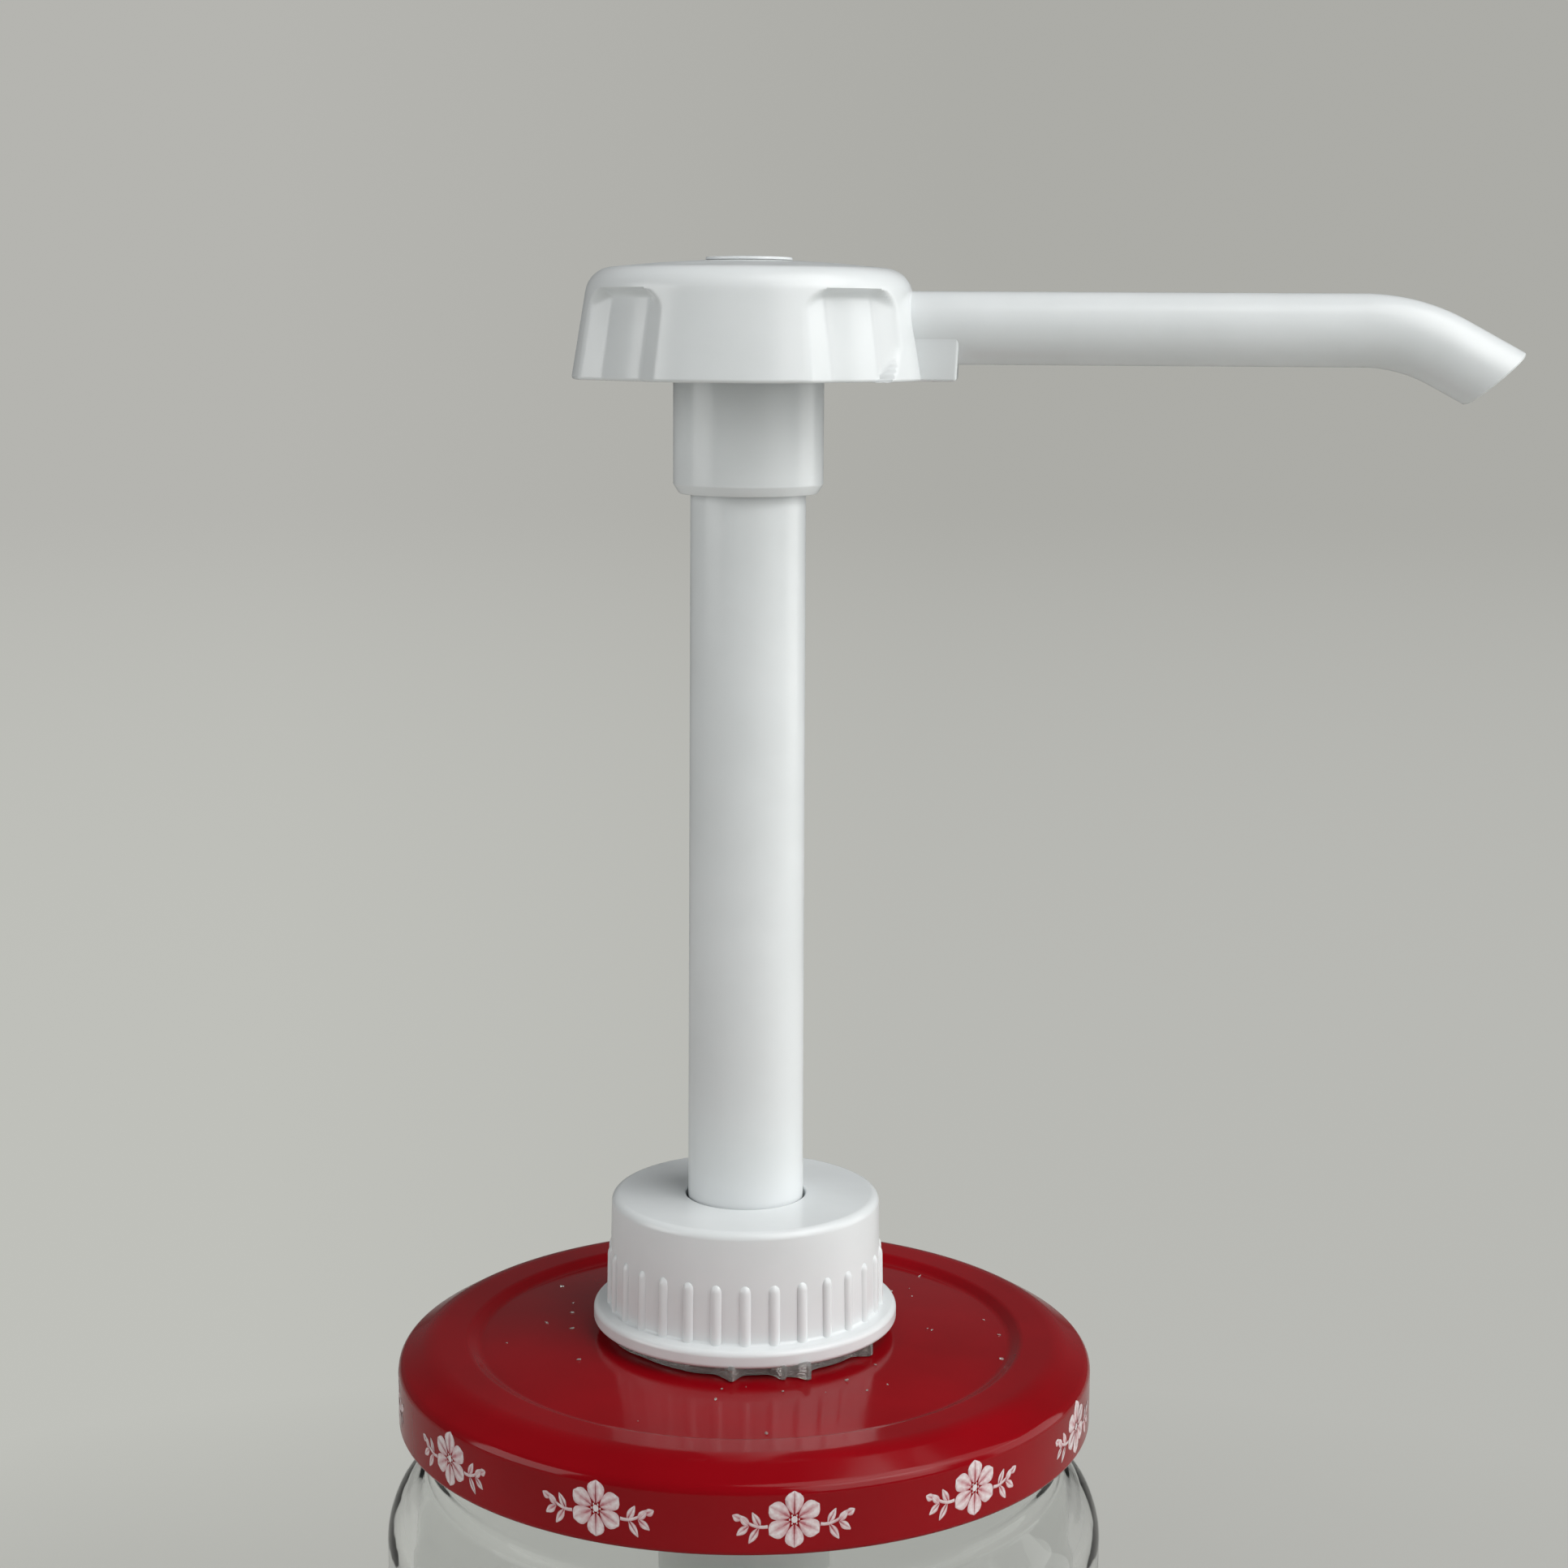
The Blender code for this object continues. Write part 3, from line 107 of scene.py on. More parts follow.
# ---- Node building ----
class ShaderNodes:
    """Short calls that add and wire the nodes of a shader tree."""

    def __init__(self, tree: bpy.types.NodeTree) -> None:
        """Work on a tree."""
        self.tree = tree

    def node(self, kind: str, **settings: Any) -> bpy.types.Node:
        """Add a node and set its properties."""
        made = self.tree.nodes.new(kind)
        for key, value in settings.items():
            setattr(made, key, value)
        return made

    def link(self, source: Socket, target: Socket) -> None:
        """Join an output to an input."""
        self.tree.links.new(source, target)

    def feed(self, node: bpy.types.Node, targets: Sequence[Socket], *values: Any) -> bpy.types.Node:
        """Link or set some inputs of a node in order."""
        for value, target in zip(values, targets):
            if isinstance(value, Socket):
                self.link(value, target)
            else:
                target.default_value = value
        return node

    def math(self, operation: str, first: Any, second: Any) -> Socket:
        """Result of a math node."""
        made = self.node("ShaderNodeMath", operation=operation)
        return self.feed(made, made.inputs, first, second).outputs[0]

    def ranged(self, value: Socket, source: Span, target: Span = (0.0, 1.0)) -> Socket:
        """Carry a value from one range to another, held at its ends."""
        made = self.node("ShaderNodeMapRange")
        return self.feed(made, made.inputs, value, *source, *target).outputs["Result"]

    def blended(self, share: Socket, low: Tone, high: Tone) -> Socket:
        """A colour between two by a share."""
        made = self.node("ShaderNodeMix", data_type="RGBA")
        tones = (tone if isinstance(tone, Socket) else (*tone, 1.0) for tone in (low, high))
        return self.feed(made, [made.inputs[0], *made.inputs[6:8]], share, *tones).outputs[2]

    def either(self, share: Socket, low: bpy.types.Node, high: bpy.types.Node) -> Socket:
        """The mix of two shaders by a share."""
        made = self.node("ShaderNodeMixShader")
        return self.feed(made, made.inputs, share, low.outputs[0], high.outputs[0]).outputs[0]

    def seen_rays(self) -> Socket:
        """1 for rays that show the surroundings: from the camera and through glass."""
        path = self.node("ShaderNodeLightPath")
        return self.math("MAXIMUM", path.outputs["Is Camera Ray"], path.outputs["Is Transmission Ray"])


class Shader(ShaderNodes):
    """A Principled material."""

    def __init__(self, name: str, **values: Any) -> None:
        """Start a material.

        Args:
            name: Name of the material.
            values: Principled socket values, with spaces in a socket's name written as underscores.
        """
        self.material = bpy.data.materials.new(name)
        self.material.use_nodes = True
        super().__init__(self.material.node_tree)
        self.principled = self.tree.nodes["Principled BSDF"]
        for key, value in values.items():
            self.principled.inputs[key.replace("_", " ")].default_value = value
        self.place = self.node("ShaderNodeTexCoord").outputs["Object"]

    def stretched(self, scale: Sequence[float]) -> Socket:
        """Object coordinates scaled by axis."""
        mapping = self.node("ShaderNodeMapping")
        mapping.inputs["Scale"].default_value = scale
        self.link(self.place, mapping.inputs["Vector"])
        return mapping.outputs["Vector"]

    def grain(self, size: float, detail: float = 2.0, roughness: float = 0.5,
              along: Socket | None = None) -> Socket:
        """Noise whose blotches are about `size` metres across.

        Args:
            size: Blotch size in metres.
            detail: Octaves of finer noise.
            roughness: Weight of the finer octaves.
            along: Coordinates to read instead of the object's own.

        Returns:
            The noise's factor.
        """
        made = self.node("ShaderNodeTexNoise")
        targets = [made.inputs[name] for name in ("Vector", "Scale", "Detail", "Roughness")]
        return self.feed(made, targets, along or self.place, 1.0 / size, detail, roughness).outputs["Fac"]

    def set(self, **values: Socket) -> None:
        """Feed Principled sockets."""
        for key, value in values.items():
            self.link(value, self.principled.inputs[key.replace("_", " ")])

    def bumped(self, *layers: tuple[Socket, float, float]) -> bpy.types.Material:
        """Stack bumps on the surface.

        Args:
            layers: Height socket, strength and depth in metres, coarse to fine.

        Returns:
            The material.
        """
        normal = None
        for height, strength, depth in layers:
            bump = self.node("ShaderNodeBump")
            bump.inputs["Strength"].default_value = strength
            bump.inputs["Distance"].default_value = depth
            self.link(height, bump.inputs["Height"])
            if normal:
                self.link(normal, bump.inputs["Normal"])
            normal = bump.outputs["Normal"]
        self.set(Normal=normal)
        return self.material


@dataclass(frozen=True)
class MouldedPlastic:
    """Moulded polypropylene or polyethylene: soft gloss, faint cloudiness and a fine skin."""

    colour: Colour = (0.79, 0.82, 0.835)
    shade: Colour = (0.745, 0.775, 0.787)
    roughness: Span = (0.19, 0.26)
    depth: float = 0.08
    clearness: float = 0.0

    def build(self, name: str) -> bpy.types.Material:
        """Make the material."""
        shader = Shader(name, IOR=1.49, Subsurface_Weight=self.depth, Subsurface_Scale=0.0016,
                        Transmission_Weight=self.clearness)
        shader.principled.inputs["Subsurface Radius"].default_value = (1.0, 0.95, 0.9)
        cloud = shader.grain(0.013, 3.0)
        shader.set(Base_Color=shader.blended(shader.ranged(cloud, (0.35, 0.7), (1.0, 0.0)), self.shade, self.colour))
        handled = shader.grain(0.0045, 4.0, 0.6)
        shader.set(Roughness=shader.ranged(handled, (0.3, 0.7), self.roughness))
        return shader.bumped((shader.grain(0.011, 1.0), 0.12, 0.00004), (shader.grain(0.0004, 2.0), 0.06, 0.00001))


@dataclass(frozen=True)
class LidEnamel:
    """Gloss red enamel on tinplate, faintly hazed, with a slight ripple from the press."""

    colour: Colour = (0.285, 0.0012, 0.0055)
    shade: Colour = (0.215, 0.0008, 0.0035)

    def build(self, name: str) -> bpy.types.Material:
        """Make the material."""
        shader = Shader(name, IOR=1.29)
        tone = shader.grain(0.022, 3.0)
        shader.set(Base_Color=shader.blended(shader.ranged(tone, (0.3, 0.7), (0.0, 1.0)), self.shade, self.colour))
        haze = shader.grain(0.010, 5.0, 0.65)
        shader.set(Roughness=shader.ranged(haze, (0.35, 0.72), (0.07, 0.17)))
        return shader.bumped((shader.grain(0.012, 1.0), 0.30, 0.00005), (shader.grain(0.0011, 2.0), 0.10, 0.00002))


@dataclass(frozen=True)
class LidPrint:
    """White ink that turns pink towards each petal's root, by the mesh's tint attribute."""

    white: Colour = (0.80, 0.74, 0.75)
    pink: Colour = (0.52, 0.17, 0.20)

    def build(self, name: str) -> bpy.types.Material:
        """Make the material."""
        shader = Shader(name, Coat_Weight=0.4, Coat_Roughness=0.06)
        tint = shader.node("ShaderNodeAttribute", attribute_name="tint").outputs["Fac"]
        dots = shader.ranged(shader.grain(0.0005, 2.0), (0.35, 0.65), (-0.14, 0.14))
        share = shader.math("ADD", tint, dots)
        share.node.use_clamp = True
        shader.set(Base_Color=shader.blended(share, self.white, self.pink))
        shader.set(Roughness=shader.ranged(shader.grain(0.002, 3.0), (0.3, 0.7), (0.16, 0.26)))
        return shader.material


@dataclass(frozen=True)
class JarGlass:
    """Clear pressed glass, faintly grey-green, with the slow waves of moulded glass."""

    colour: Colour = (0.885, 0.895, 0.89)

    def build(self, name: str) -> bpy.types.Material:
        """Make the material."""
        shader = Shader(name, IOR=1.2, Transmission_Weight=1.0)
        tone = shader.ranged(shader.grain(0.03, 2.0), (0.3, 0.7), (0.0, 1.0))
        pale = tuple(0.3 + channel * 0.7 for channel in self.colour)
        shader.set(Base_Color=shader.blended(tone, self.colour, pale))
        shader.set(Roughness=shader.ranged(shader.grain(0.012, 4.0), (0.45, 0.75), (0.0, 0.05)))
        waves = shader.grain(0.011, 2.0, along=shader.stretched((1.0, 1.0, 0.45)))
        return shader.bumped((waves, 0.35, 0.00025))


@dataclass(frozen=True)
class CuredSealant:
    """Clear sealant with a lumpy, slightly dusty skin."""

    colour: Colour = (0.86, 0.87, 0.85)

    def build(self, name: str) -> bpy.types.Material:
        """Make the material."""
        shader = Shader(name, IOR=1.42, Transmission_Weight=0.82)
        dust = shader.ranged(shader.grain(0.0012, 3.0), (0.4, 0.7), (0.0, 1.0))
        shader.set(Base_Color=shader.blended(dust, self.colour, (0.66, 0.66, 0.63)))
        shader.set(Roughness=shader.ranged(dust, (0.0, 1.0), (0.06, 0.26)))
        return shader.bumped((shader.grain(0.0014, 2.0), 0.7, 0.0003))


@dataclass(frozen=True)
class Rubber:
    """Matt elastic stuff: a washer or a bead of sealing compound."""

    colour: Colour

    def build(self, name: str) -> bpy.types.Material:
        """Make the material."""
        shader = Shader(name, IOR=1.5)
        dark = tuple(channel * 0.82 for channel in self.colour)
        shader.set(Base_Color=shader.blended(shader.grain(0.004, 3.0), dark, self.colour))
        shader.set(Roughness=shader.ranged(shader.grain(0.002, 3.0), (0.3, 0.7), (0.5, 0.72)))
        return shader.bumped((shader.grain(0.0006, 2.0), 0.3, 0.00004))


@dataclass(frozen=True)
class Steel:
    """Drawn stainless steel with fine marks along one axis."""

    colour: Colour = (0.60, 0.60, 0.61)

    def build(self, name: str) -> bpy.types.Material:
        """Make the material."""
        shader = Shader(name, Metallic=1.0)
        marks = shader.grain(0.0012, 3.0, along=shader.stretched((4.0, 4.0, 0.5)))
        dark = tuple(channel * 0.8 for channel in self.colour)
        shader.set(Base_Color=shader.blended(marks, dark, self.colour))
        shader.set(Roughness=shader.ranged(marks, (0.3, 0.7), (0.14, 0.26)))
        return shader.bumped((marks, 0.15, 0.00001))


# ---- Shapes ----
def rounded(corners: Sequence[Sequence[float]], step_deg: float = 12.0) -> Outline:
    """Turn (r, z) or (r, z, fillet) corners into a smooth outline.

    Args:
        corners: The corners in order. A fillet at either end is left out.
        step_deg: Largest turn between two points of a fillet.

    Returns:
        The outline as 2D points.
    """
    outline: Outline = []
    for index, corner in enumerate(corners):
        here = Vector(corner[:2])
        fillet = corner[2] if len(corner) > 2 else 0.0
        if not fillet or index in (0, len(corners) - 1):
            outline.append(here)
            continue
        back = Vector(corners[index - 1][:2]) - here
        ahead = Vector(corners[index + 1][:2]) - here
        half = back.angle(ahead) / 2
        run = min(fillet / math.tan(half), 0.49 * back.length, 0.49 * ahead.length)
        radius = run * math.tan(half)
        centre = here + (back.normalized() + ahead.normalized()).normalized() * (radius / math.sin(half))
        start = here + back.normalized() * run - centre
        end = here + ahead.normalized() * run - centre
        sweep = start.angle_signed(end)
        steps = max(2, math.ceil(abs(math.degrees(sweep)) / step_deg))
        for step in range(steps + 1):
            outline.append(centre + Matrix.Rotation(-sweep * step / steps, 2) @ start)
    return outline


def closed(corners: Sequence[Sequence[float]], step_deg: float = 12.0) -> Outline:
    """A closed outline of (r, z) or (r, z, fillet) corners. The first has no fillet."""
    return rounded([*corners, corners[0]], step_deg)[:-1]


def polar(r: float, angle: float, z: float) -> Vector:
    """Point at a radius, angle and height."""
    return Vector((r * math.cos(angle), r * math.sin(angle), z))


def held(value: float) -> float:
    """A share held between 0 and 1."""
    return min(max(value, 0.0), 1.0)


def away_from(angle_deg: float, middle_deg: float) -> float:
    """Angle from a middle, between -180 and 180 degrees."""
    return (angle_deg - middle_deg + 180.0) % 360.0 - 180.0


def divided(outline: Outline, longest: float) -> Outline:
    """Split an outline's long legs so that none is longer than `longest` metres."""
    finer = [outline[0]]
    for before, after in zip(outline, outline[1:]):
        parts = max(1, math.ceil((after - before).length / longest))
        finer.extend(before.lerp(after, part / parts) for part in range(1, parts + 1))
    return finer


def inset(outline: Outline, distance: float) -> Outline:
    """The open outline moved to its right-hand side by an even distance."""
    moved: Outline = []
    for index, point in enumerate(outline):
        before = point - outline[index - 1] if index else outline[1] - point
        after = outline[index + 1] - point if index < len(outline) - 1 else before
        normals = [Vector((leg.y, -leg.x)).normalized() for leg in (before, after)]
        miter = (normals[0] + normals[1]).normalized()
        moved.append(point + miter * (distance / miter.dot(normals[0])))
    return moved


def finished(name: str, bm: Mesh, sharp_deg: float = 40.0) -> Piece:
    """Close a bmesh off as a smooth-shaded object with its faces pointing out."""
    bmesh.ops.remove_doubles(bm, verts=bm.verts, dist=2e-7)
    bmesh.ops.recalc_face_normals(bm, faces=bm.faces)
    mesh = bpy.data.meshes.new(name)
    bm.to_mesh(mesh)
    bm.free()
    mesh.shade_smooth()
    mesh.set_sharp_from_angle(angle=math.radians(sharp_deg))
    piece = bpy.data.objects.new(name, mesh)
    bpy.context.scene.collection.objects.link(piece)
    return piece


def evened(piece: Piece) -> Piece:
    """Give a piece normals that keep its large faces flat."""
    modifier = piece.modifiers.new("even_normals", "WEIGHTED_NORMAL")
    modifier.keep_sharp = True
    return piece


def lathe(name: str, outline: Outline, sides: Sides = Sides.MEDIUM, closed_up: bool = True,
          warp: Callable[[float, float, float], tuple[float, float]] | None = None) -> Piece:
    """Turn an outline about Z.

    Args:
        name: Name of the piece.
        outline: (r, z) points. A closed outline is a ring, an open one starts and ends on the axis.
        sides: Flats round the piece.
        closed_up: Whether the last point joins the first.
        warp: Optional change of (r, z) by angle, r and z.

    Returns:
        The new piece.
    """
    bm = bmesh.new()
    rings = []
    for radius, height in outline:
        ring = []
        for step in range(sides.value if radius > 1e-7 else 1):
            angle = math.tau * step / sides.value
            r, z = warp(angle, radius, height) if warp and radius > 1e-7 else (radius, height)
            ring.append(bm.verts.new(polar(r, angle, z)))
        rings.append(ring)
    for low, high in zip(rings, rings[1:] + rings[:1] if closed_up else rings[1:]):
        for step in range(sides.value):
            after = (step + 1) % sides.value
            corners = dict.fromkeys((low[step % len(low)], low[after % len(low)],
                                     high[after % len(high)], high[step % len(high)]))
            if len(corners) > 2:
                bm.faces.new(tuple(corners))
    return evened(finished(name, bm))


def bridge(bm: Mesh, rings: Sequence[Sequence[Vert]], capped: bool = False) -> None:
    """Join each ring of vertices to the next with quads, and close the end rings if asked."""
    for low, high in zip(rings, rings[1:]):
        for step, vert in enumerate(low):
            after = (step + 1) % len(low)
            bm.faces.new((vert, low[after], high[after], high[step]))
    if capped:
        bm.faces.new(rings[0])
        bm.faces.new(rings[-1])


def strips(bm: Mesh, rows: Sequence[Sequence[Vert]]) -> None:
    """Join each open row of vertices to the next with quads."""
    for low, high in zip(rows, rows[1:]):
        for part in range(len(low) - 1):
            bm.faces.new((low[part], low[part + 1], high[part + 1], high[part]))


def wire_ring(bm: Mesh, centre: Vector, side: Vector, up: Vector, radius: float,
              sides: int) -> list[Vert]:
    """One round cross-section of a bar."""
    return [bm.verts.new(centre + radius * (math.cos(math.tau * step / sides) * side
                                            + math.sin(math.tau * step / sides) * up))
            for step in range(sides)]


# ---- Geometry Nodes ----
class NodeTool:
    """A Geometry Nodes tree with named inputs that is run once on a mesh."""

    def __init__(self, name: str, **kinds: str) -> None:
        """Start a tree that takes and gives geometry.

        Args:
            name: Name of the tree.
            kinds: Socket kind of each further input, with spaces in its name written as underscores.
        """
        self.tree = bpy.data.node_groups.new(name, "GeometryNodeTree")
        self.tree.interface.new_socket("Geometry", in_out="INPUT", socket_type="NodeSocketGeometry")
        self.tree.interface.new_socket("Geometry", in_out="OUTPUT", socket_type="NodeSocketGeometry")
        for key, kind in kinds.items():
            self.tree.interface.new_socket(key.replace("_", " "), in_out="INPUT", socket_type=f"NodeSocket{kind}")
        self.source = self.tree.nodes.new("NodeGroupInput")
        self.target = self.tree.nodes.new("NodeGroupOutput")

    def given(self, name: str) -> Socket:
        """The value that a named input brings."""
        return self.source.outputs[name]

    def node(self, kind: str, *inputs: Any, **settings: Any) -> bpy.types.Node:
        """Add a node, set its properties and feed its inputs in order, skipping None."""
        made = self.tree.nodes.new(kind)
        for key, value in settings.items():
            setattr(made, key, value)
        open_inputs = [socket for socket in made.inputs if socket.enabled]
        for socket, value in zip(open_inputs, inputs):
            if isinstance(value, Socket):
                self.tree.links.new(value, socket)
            elif value is not None:
                socket.default_value = value
        return made

    def math(self, operation: str, *inputs: Any) -> Socket:
        """Result of a math node."""
        return self.node("ShaderNodeMath", *inputs, operation=operation).outputs[0]

    def close(self, points: Socket, turn: Socket,
              size: Socket | None = None) -> None:
        """Copy the shape to points, realize the copies, set the finish and give the result.

        Args:
            points: Where the copies go.
            turn: Euler angles of each copy.
            size: Scale of each copy, or None for their own size.
        """
        copies = self.node("GeometryNodeInstanceOnPoints")
        rotation = self.node("FunctionNodeEulerToRotation", turn).outputs[0]
        for name, value in (("Points", points), ("Instance", self.given("Geometry")), ("Rotation", rotation),
                            ("Scale", size)):
            if value is not None:
                self.tree.links.new(value, copies.inputs[name])
        real = self.node("GeometryNodeRealizeInstances", copies.outputs[0]).outputs[0]
        dressed = self.node("GeometryNodeSetMaterial", real, None, self.given("Finish")).outputs[0]
        self.tree.links.new(dressed, self.target.inputs[0])

    def run(self, name: str, template: Piece, values: dict[str, Any]) -> Piece:
        """Run the tree on a template and keep the result as a plain mesh.

        Args:
            name: Name of the new piece.
            template: The shape that is repeated. It is removed.
            values: The tree's inputs by name.

        Returns:
            The new piece.
        """
        modifier = template.modifiers.new(name, "NODES")
        modifier.node_group = self.tree
        for item in self.tree.interface.items_tree:
            if item.in_out == "INPUT" and item.name in values:
                modifier[item.identifier] = values[item.name]
        graph = bpy.context.evaluated_depsgraph_get()
        mesh = bpy.data.meshes.new_from_object(template.evaluated_get(graph), depsgraph=graph)
        mesh.name = name
        template.modifiers.remove(modifier)
        bpy.data.objects.remove(template)
        piece = bpy.data.objects.new(name, mesh)
        bpy.context.scene.collection.objects.link(piece)
        return piece


def ring_tool() -> NodeTool:
    """Equal copies of the incoming shape in a ring about Z."""
    tool = NodeTool("ring_of_copies", Count="Int", Start_Angle="Float", Finish="Material")
    points = tool.node("GeometryNodePoints", tool.given("Count")).outputs[0]
    index = tool.node("GeometryNodeInputIndex").outputs[0]
    step = tool.math("DIVIDE", math.tau, tool.given("Count"))
    angle = tool.math("MULTIPLY_ADD", index, step, tool.given("Start Angle"))
    turn = tool.node("ShaderNodeCombineXYZ", None, None, angle).outputs[0]
    tool.close(points, turn)
    return tool


def crumb_tool() -> NodeTool:
    """Crumbs scattered at random over a cone-shaped ring about Z."""
    tool = NodeTool("scattered_crumbs", Count="Int", Inner_Radius="Float", Outer_Radius="Float",
                    Inner_Height="Float", Outer_Height="Float", Largest="Float", Seed="Int", Finish="Material")

    def chance(low: float, high: float, extra: int) -> Socket:
        """A random number for each crumb."""
        node = tool.node("FunctionNodeRandomValue", data_type="FLOAT")
        node.inputs[2].default_value = low
        node.inputs[3].default_value = high
        tool.tree.links.new(tool.math("ADD", tool.given("Seed"), float(extra)), node.inputs["Seed"])
        return node.outputs[1]

    share = tool.math("POWER", chance(0.0, 1.0, 1), 1.6)
    reach = tool.math("SUBTRACT", tool.given("Outer Radius"), tool.given("Inner Radius"))
    radius = tool.math("MULTIPLY_ADD", share, reach, tool.given("Inner Radius"))
    drop = tool.math("SUBTRACT", tool.given("Outer Height"), tool.given("Inner Height"))
    height = tool.math("MULTIPLY_ADD", share, drop, tool.given("Inner Height"))
    angle = chance(0.0, math.tau, 2)
    place = tool.node("ShaderNodeCombineXYZ", tool.math("MULTIPLY", radius, tool.math("COSINE", angle)),
                      tool.math("MULTIPLY", radius, tool.math("SINE", angle)), height).outputs[0]
    points = tool.node("GeometryNodePoints", tool.given("Count"), place).outputs[0]
    turn = tool.node("ShaderNodeCombineXYZ", chance(-0.4, 0.4, 3), chance(-0.4, 0.4, 4), angle).outputs[0]
    size = tool.math("MULTIPLY", chance(0.25, 1.0, 5), tool.given("Largest"))
    tool.close(points, turn, size)
    return tool


# ---- Placing ----
class Finishes:
    """Every material, made once."""

    def __init__(self) -> None:
        """Make the finish of each slot, and the ink that is printed over the enamel."""
        looks = {
            Slot.WHITE: MouldedPlastic(),
            Slot.NATURAL: MouldedPlastic((0.80, 0.82, 0.80), (0.72, 0.75, 0.73), (0.30, 0.40), 0.15, 0.35),
            Slot.ENAMEL: LidEnamel(), Slot.GLASS: JarGlass(), Slot.SEALANT: CuredSealant(),
            Slot.COMPOUND: Rubber((0.72, 0.70, 0.64)), Slot.RUBBER: Rubber((0.32, 0.33, 0.34)), Slot.STEEL: Steel()}
        self.of_slot = {slot: look.build(slot.value) for slot, look in looks.items()}
        self.ink = LidPrint().build("lid_print")


@dataclass
class Assembly:
    """Shared work of the sub-assemblies: dress a piece, hang it on its body and report it."""

    finishes: Finishes

    def place(self, piece: Piece, body: Body, slot: Slot, *nodes: str,
              finish: bpy.types.Material | None = None) -> Piece:
        """Finish a piece and fix it to its body.

        Args:
            piece: The piece, in its place.
            body: The body that carries it.
            slot: The record's slot that it takes its finish from.
            nodes: The CAD nodes that it stands for.
            finish: Its material, where it isn't the slot's own.

        Returns:
            The piece.
        """
        piece.data.materials.clear()
        piece.data.materials.append(finish or self.finishes.of_slot[slot])
        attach(piece, body.value)
        if nodes:
            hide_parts(*nodes)
        LOG.info("%s: %d faces on %s", piece.name, len(piece.data.polygons), body.value)
        return piece

    def turned(self, name: str, corners: Sequence[Sequence[float]], body: Body, slot: Slot, *nodes: str,
               sides: Sides = Sides.MEDIUM) -> None:
        """Turn a closed outline of corners and place it."""
        self.place(lathe(name, closed(corners), sides), body, slot, *nodes)

    def dress(self, slot: Slot, *nodes: str) -> None:
        """Give CAD nodes that stay their fine finish."""
        for node in nodes:
            for material_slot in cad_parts[node].material_slots:
                material_slot.material = self.finishes.of_slot[slot]
            LOG.info("%s: kept", node)


# ---- Jar ----
@dataclass
class Jar(Assembly):
    """The glass jar with its lug threads, mould seams and slightly uneven inner wall."""

    height: float = 0.1676
    body_radius: float = 0.04385
    wall: float = 0.0028
    floor: float = 0.0055
    heel: float = 0.0060
    shoulder_radius: float = 0.0150
    shoulder_depth: float = 0.0195
    finish_depth: float = 0.0147
    finish_radius: float = 0.0389
    mouth_wall: float = 0.0029
    rim_round: float = 0.0010
    threads: int = 6
    thread_depth: float = 0.0018
    thread_arc: float = math.radians(32.0)
    thread_drop: float = 0.0060
    thread_rise: float = 0.0014
    thread_half: float = 0.00115
    seam_depth: float = 0.00004
    seam_width: float = 0.0004
    wave_depth: float = 0.00028

    def surface(self, angle: float, r: float, z: float) -> tuple[float, float]:
        """Threads and seams on the outer wall, slow waves on the inner one."""
        outer = r > self.finish_radius - 1e-5
        if outer and z > self.height - self.finish_depth + 0.001:
            pitch = math.tau / self.threads
            along = (angle + pitch / 2) % pitch - pitch / 2
            middle = self.height - self.thread_drop + self.thread_rise * along / self.thread_arc
            end = held((self.thread_arc / 2 - abs(along)) / math.radians(4.0))
            rise = max(1.0 - ((z - middle) / self.thread_half) ** 2, 0.0)
            r += self.thread_depth * math.sqrt(rise) * math.sin(end * math.pi / 2)
        elif outer and self.heel < z < self.height - self.shoulder_depth:
            for seam in (math.radians(20.0), math.radians(200.0)):
                away = (angle - seam + math.pi) % math.tau - math.pi
                r -= self.seam_depth * (1.0 - math.exp(-(away * r / self.seam_width) ** 2))
        elif r < self.body_radius - self.wall + 1e-5 and self.floor < z < self.height - self.finish_depth:
            spot = polar(r, angle, z * 0.6) * 45.0
            share = held((self.height - self.finish_depth - z) / 0.004)
            r += self.wave_depth * noise.noise(spot) * share
        return r, z

    def build(self) -> None:
        """Make the jar."""
        corner = self.height - self.shoulder_depth
        neck = self.height - self.finish_depth
        inside = self.body_radius - self.wall
        mouth = self.finish_radius - self.mouth_wall
        outline = rounded([
            (0.0, 0.0), (self.body_radius, 0.0, self.heel),
            (self.body_radius, corner, self.shoulder_radius), (self.finish_radius, neck, 0.0012),
            (self.finish_radius, self.height, self.rim_round), (mouth, self.height, self.rim_round),
            (mouth, neck, 0.003), (inside, corner - self.wall / 4, self.shoulder_radius - self.wall),
            (inside, self.floor, self.heel - self.wall / 2), (0.0, self.floor)], 9.0)
        finer: Outline = []
        for before, after in zip(outline, outline[1:]):
            on_neck = min(before.y, after.y) > neck and before.x > self.finish_radius - 1e-5
            finer.extend(divided([before, after], 0.0003 if on_neck else 0.006)[:-1])
        finer.append(outline[-1])
        shell = lathe("jar_shell", finer, Sides.FINE, closed_up=False, warp=self.surface)
        self.place(shell, Body.JAR, Slot.GLASS, "jar_glass")


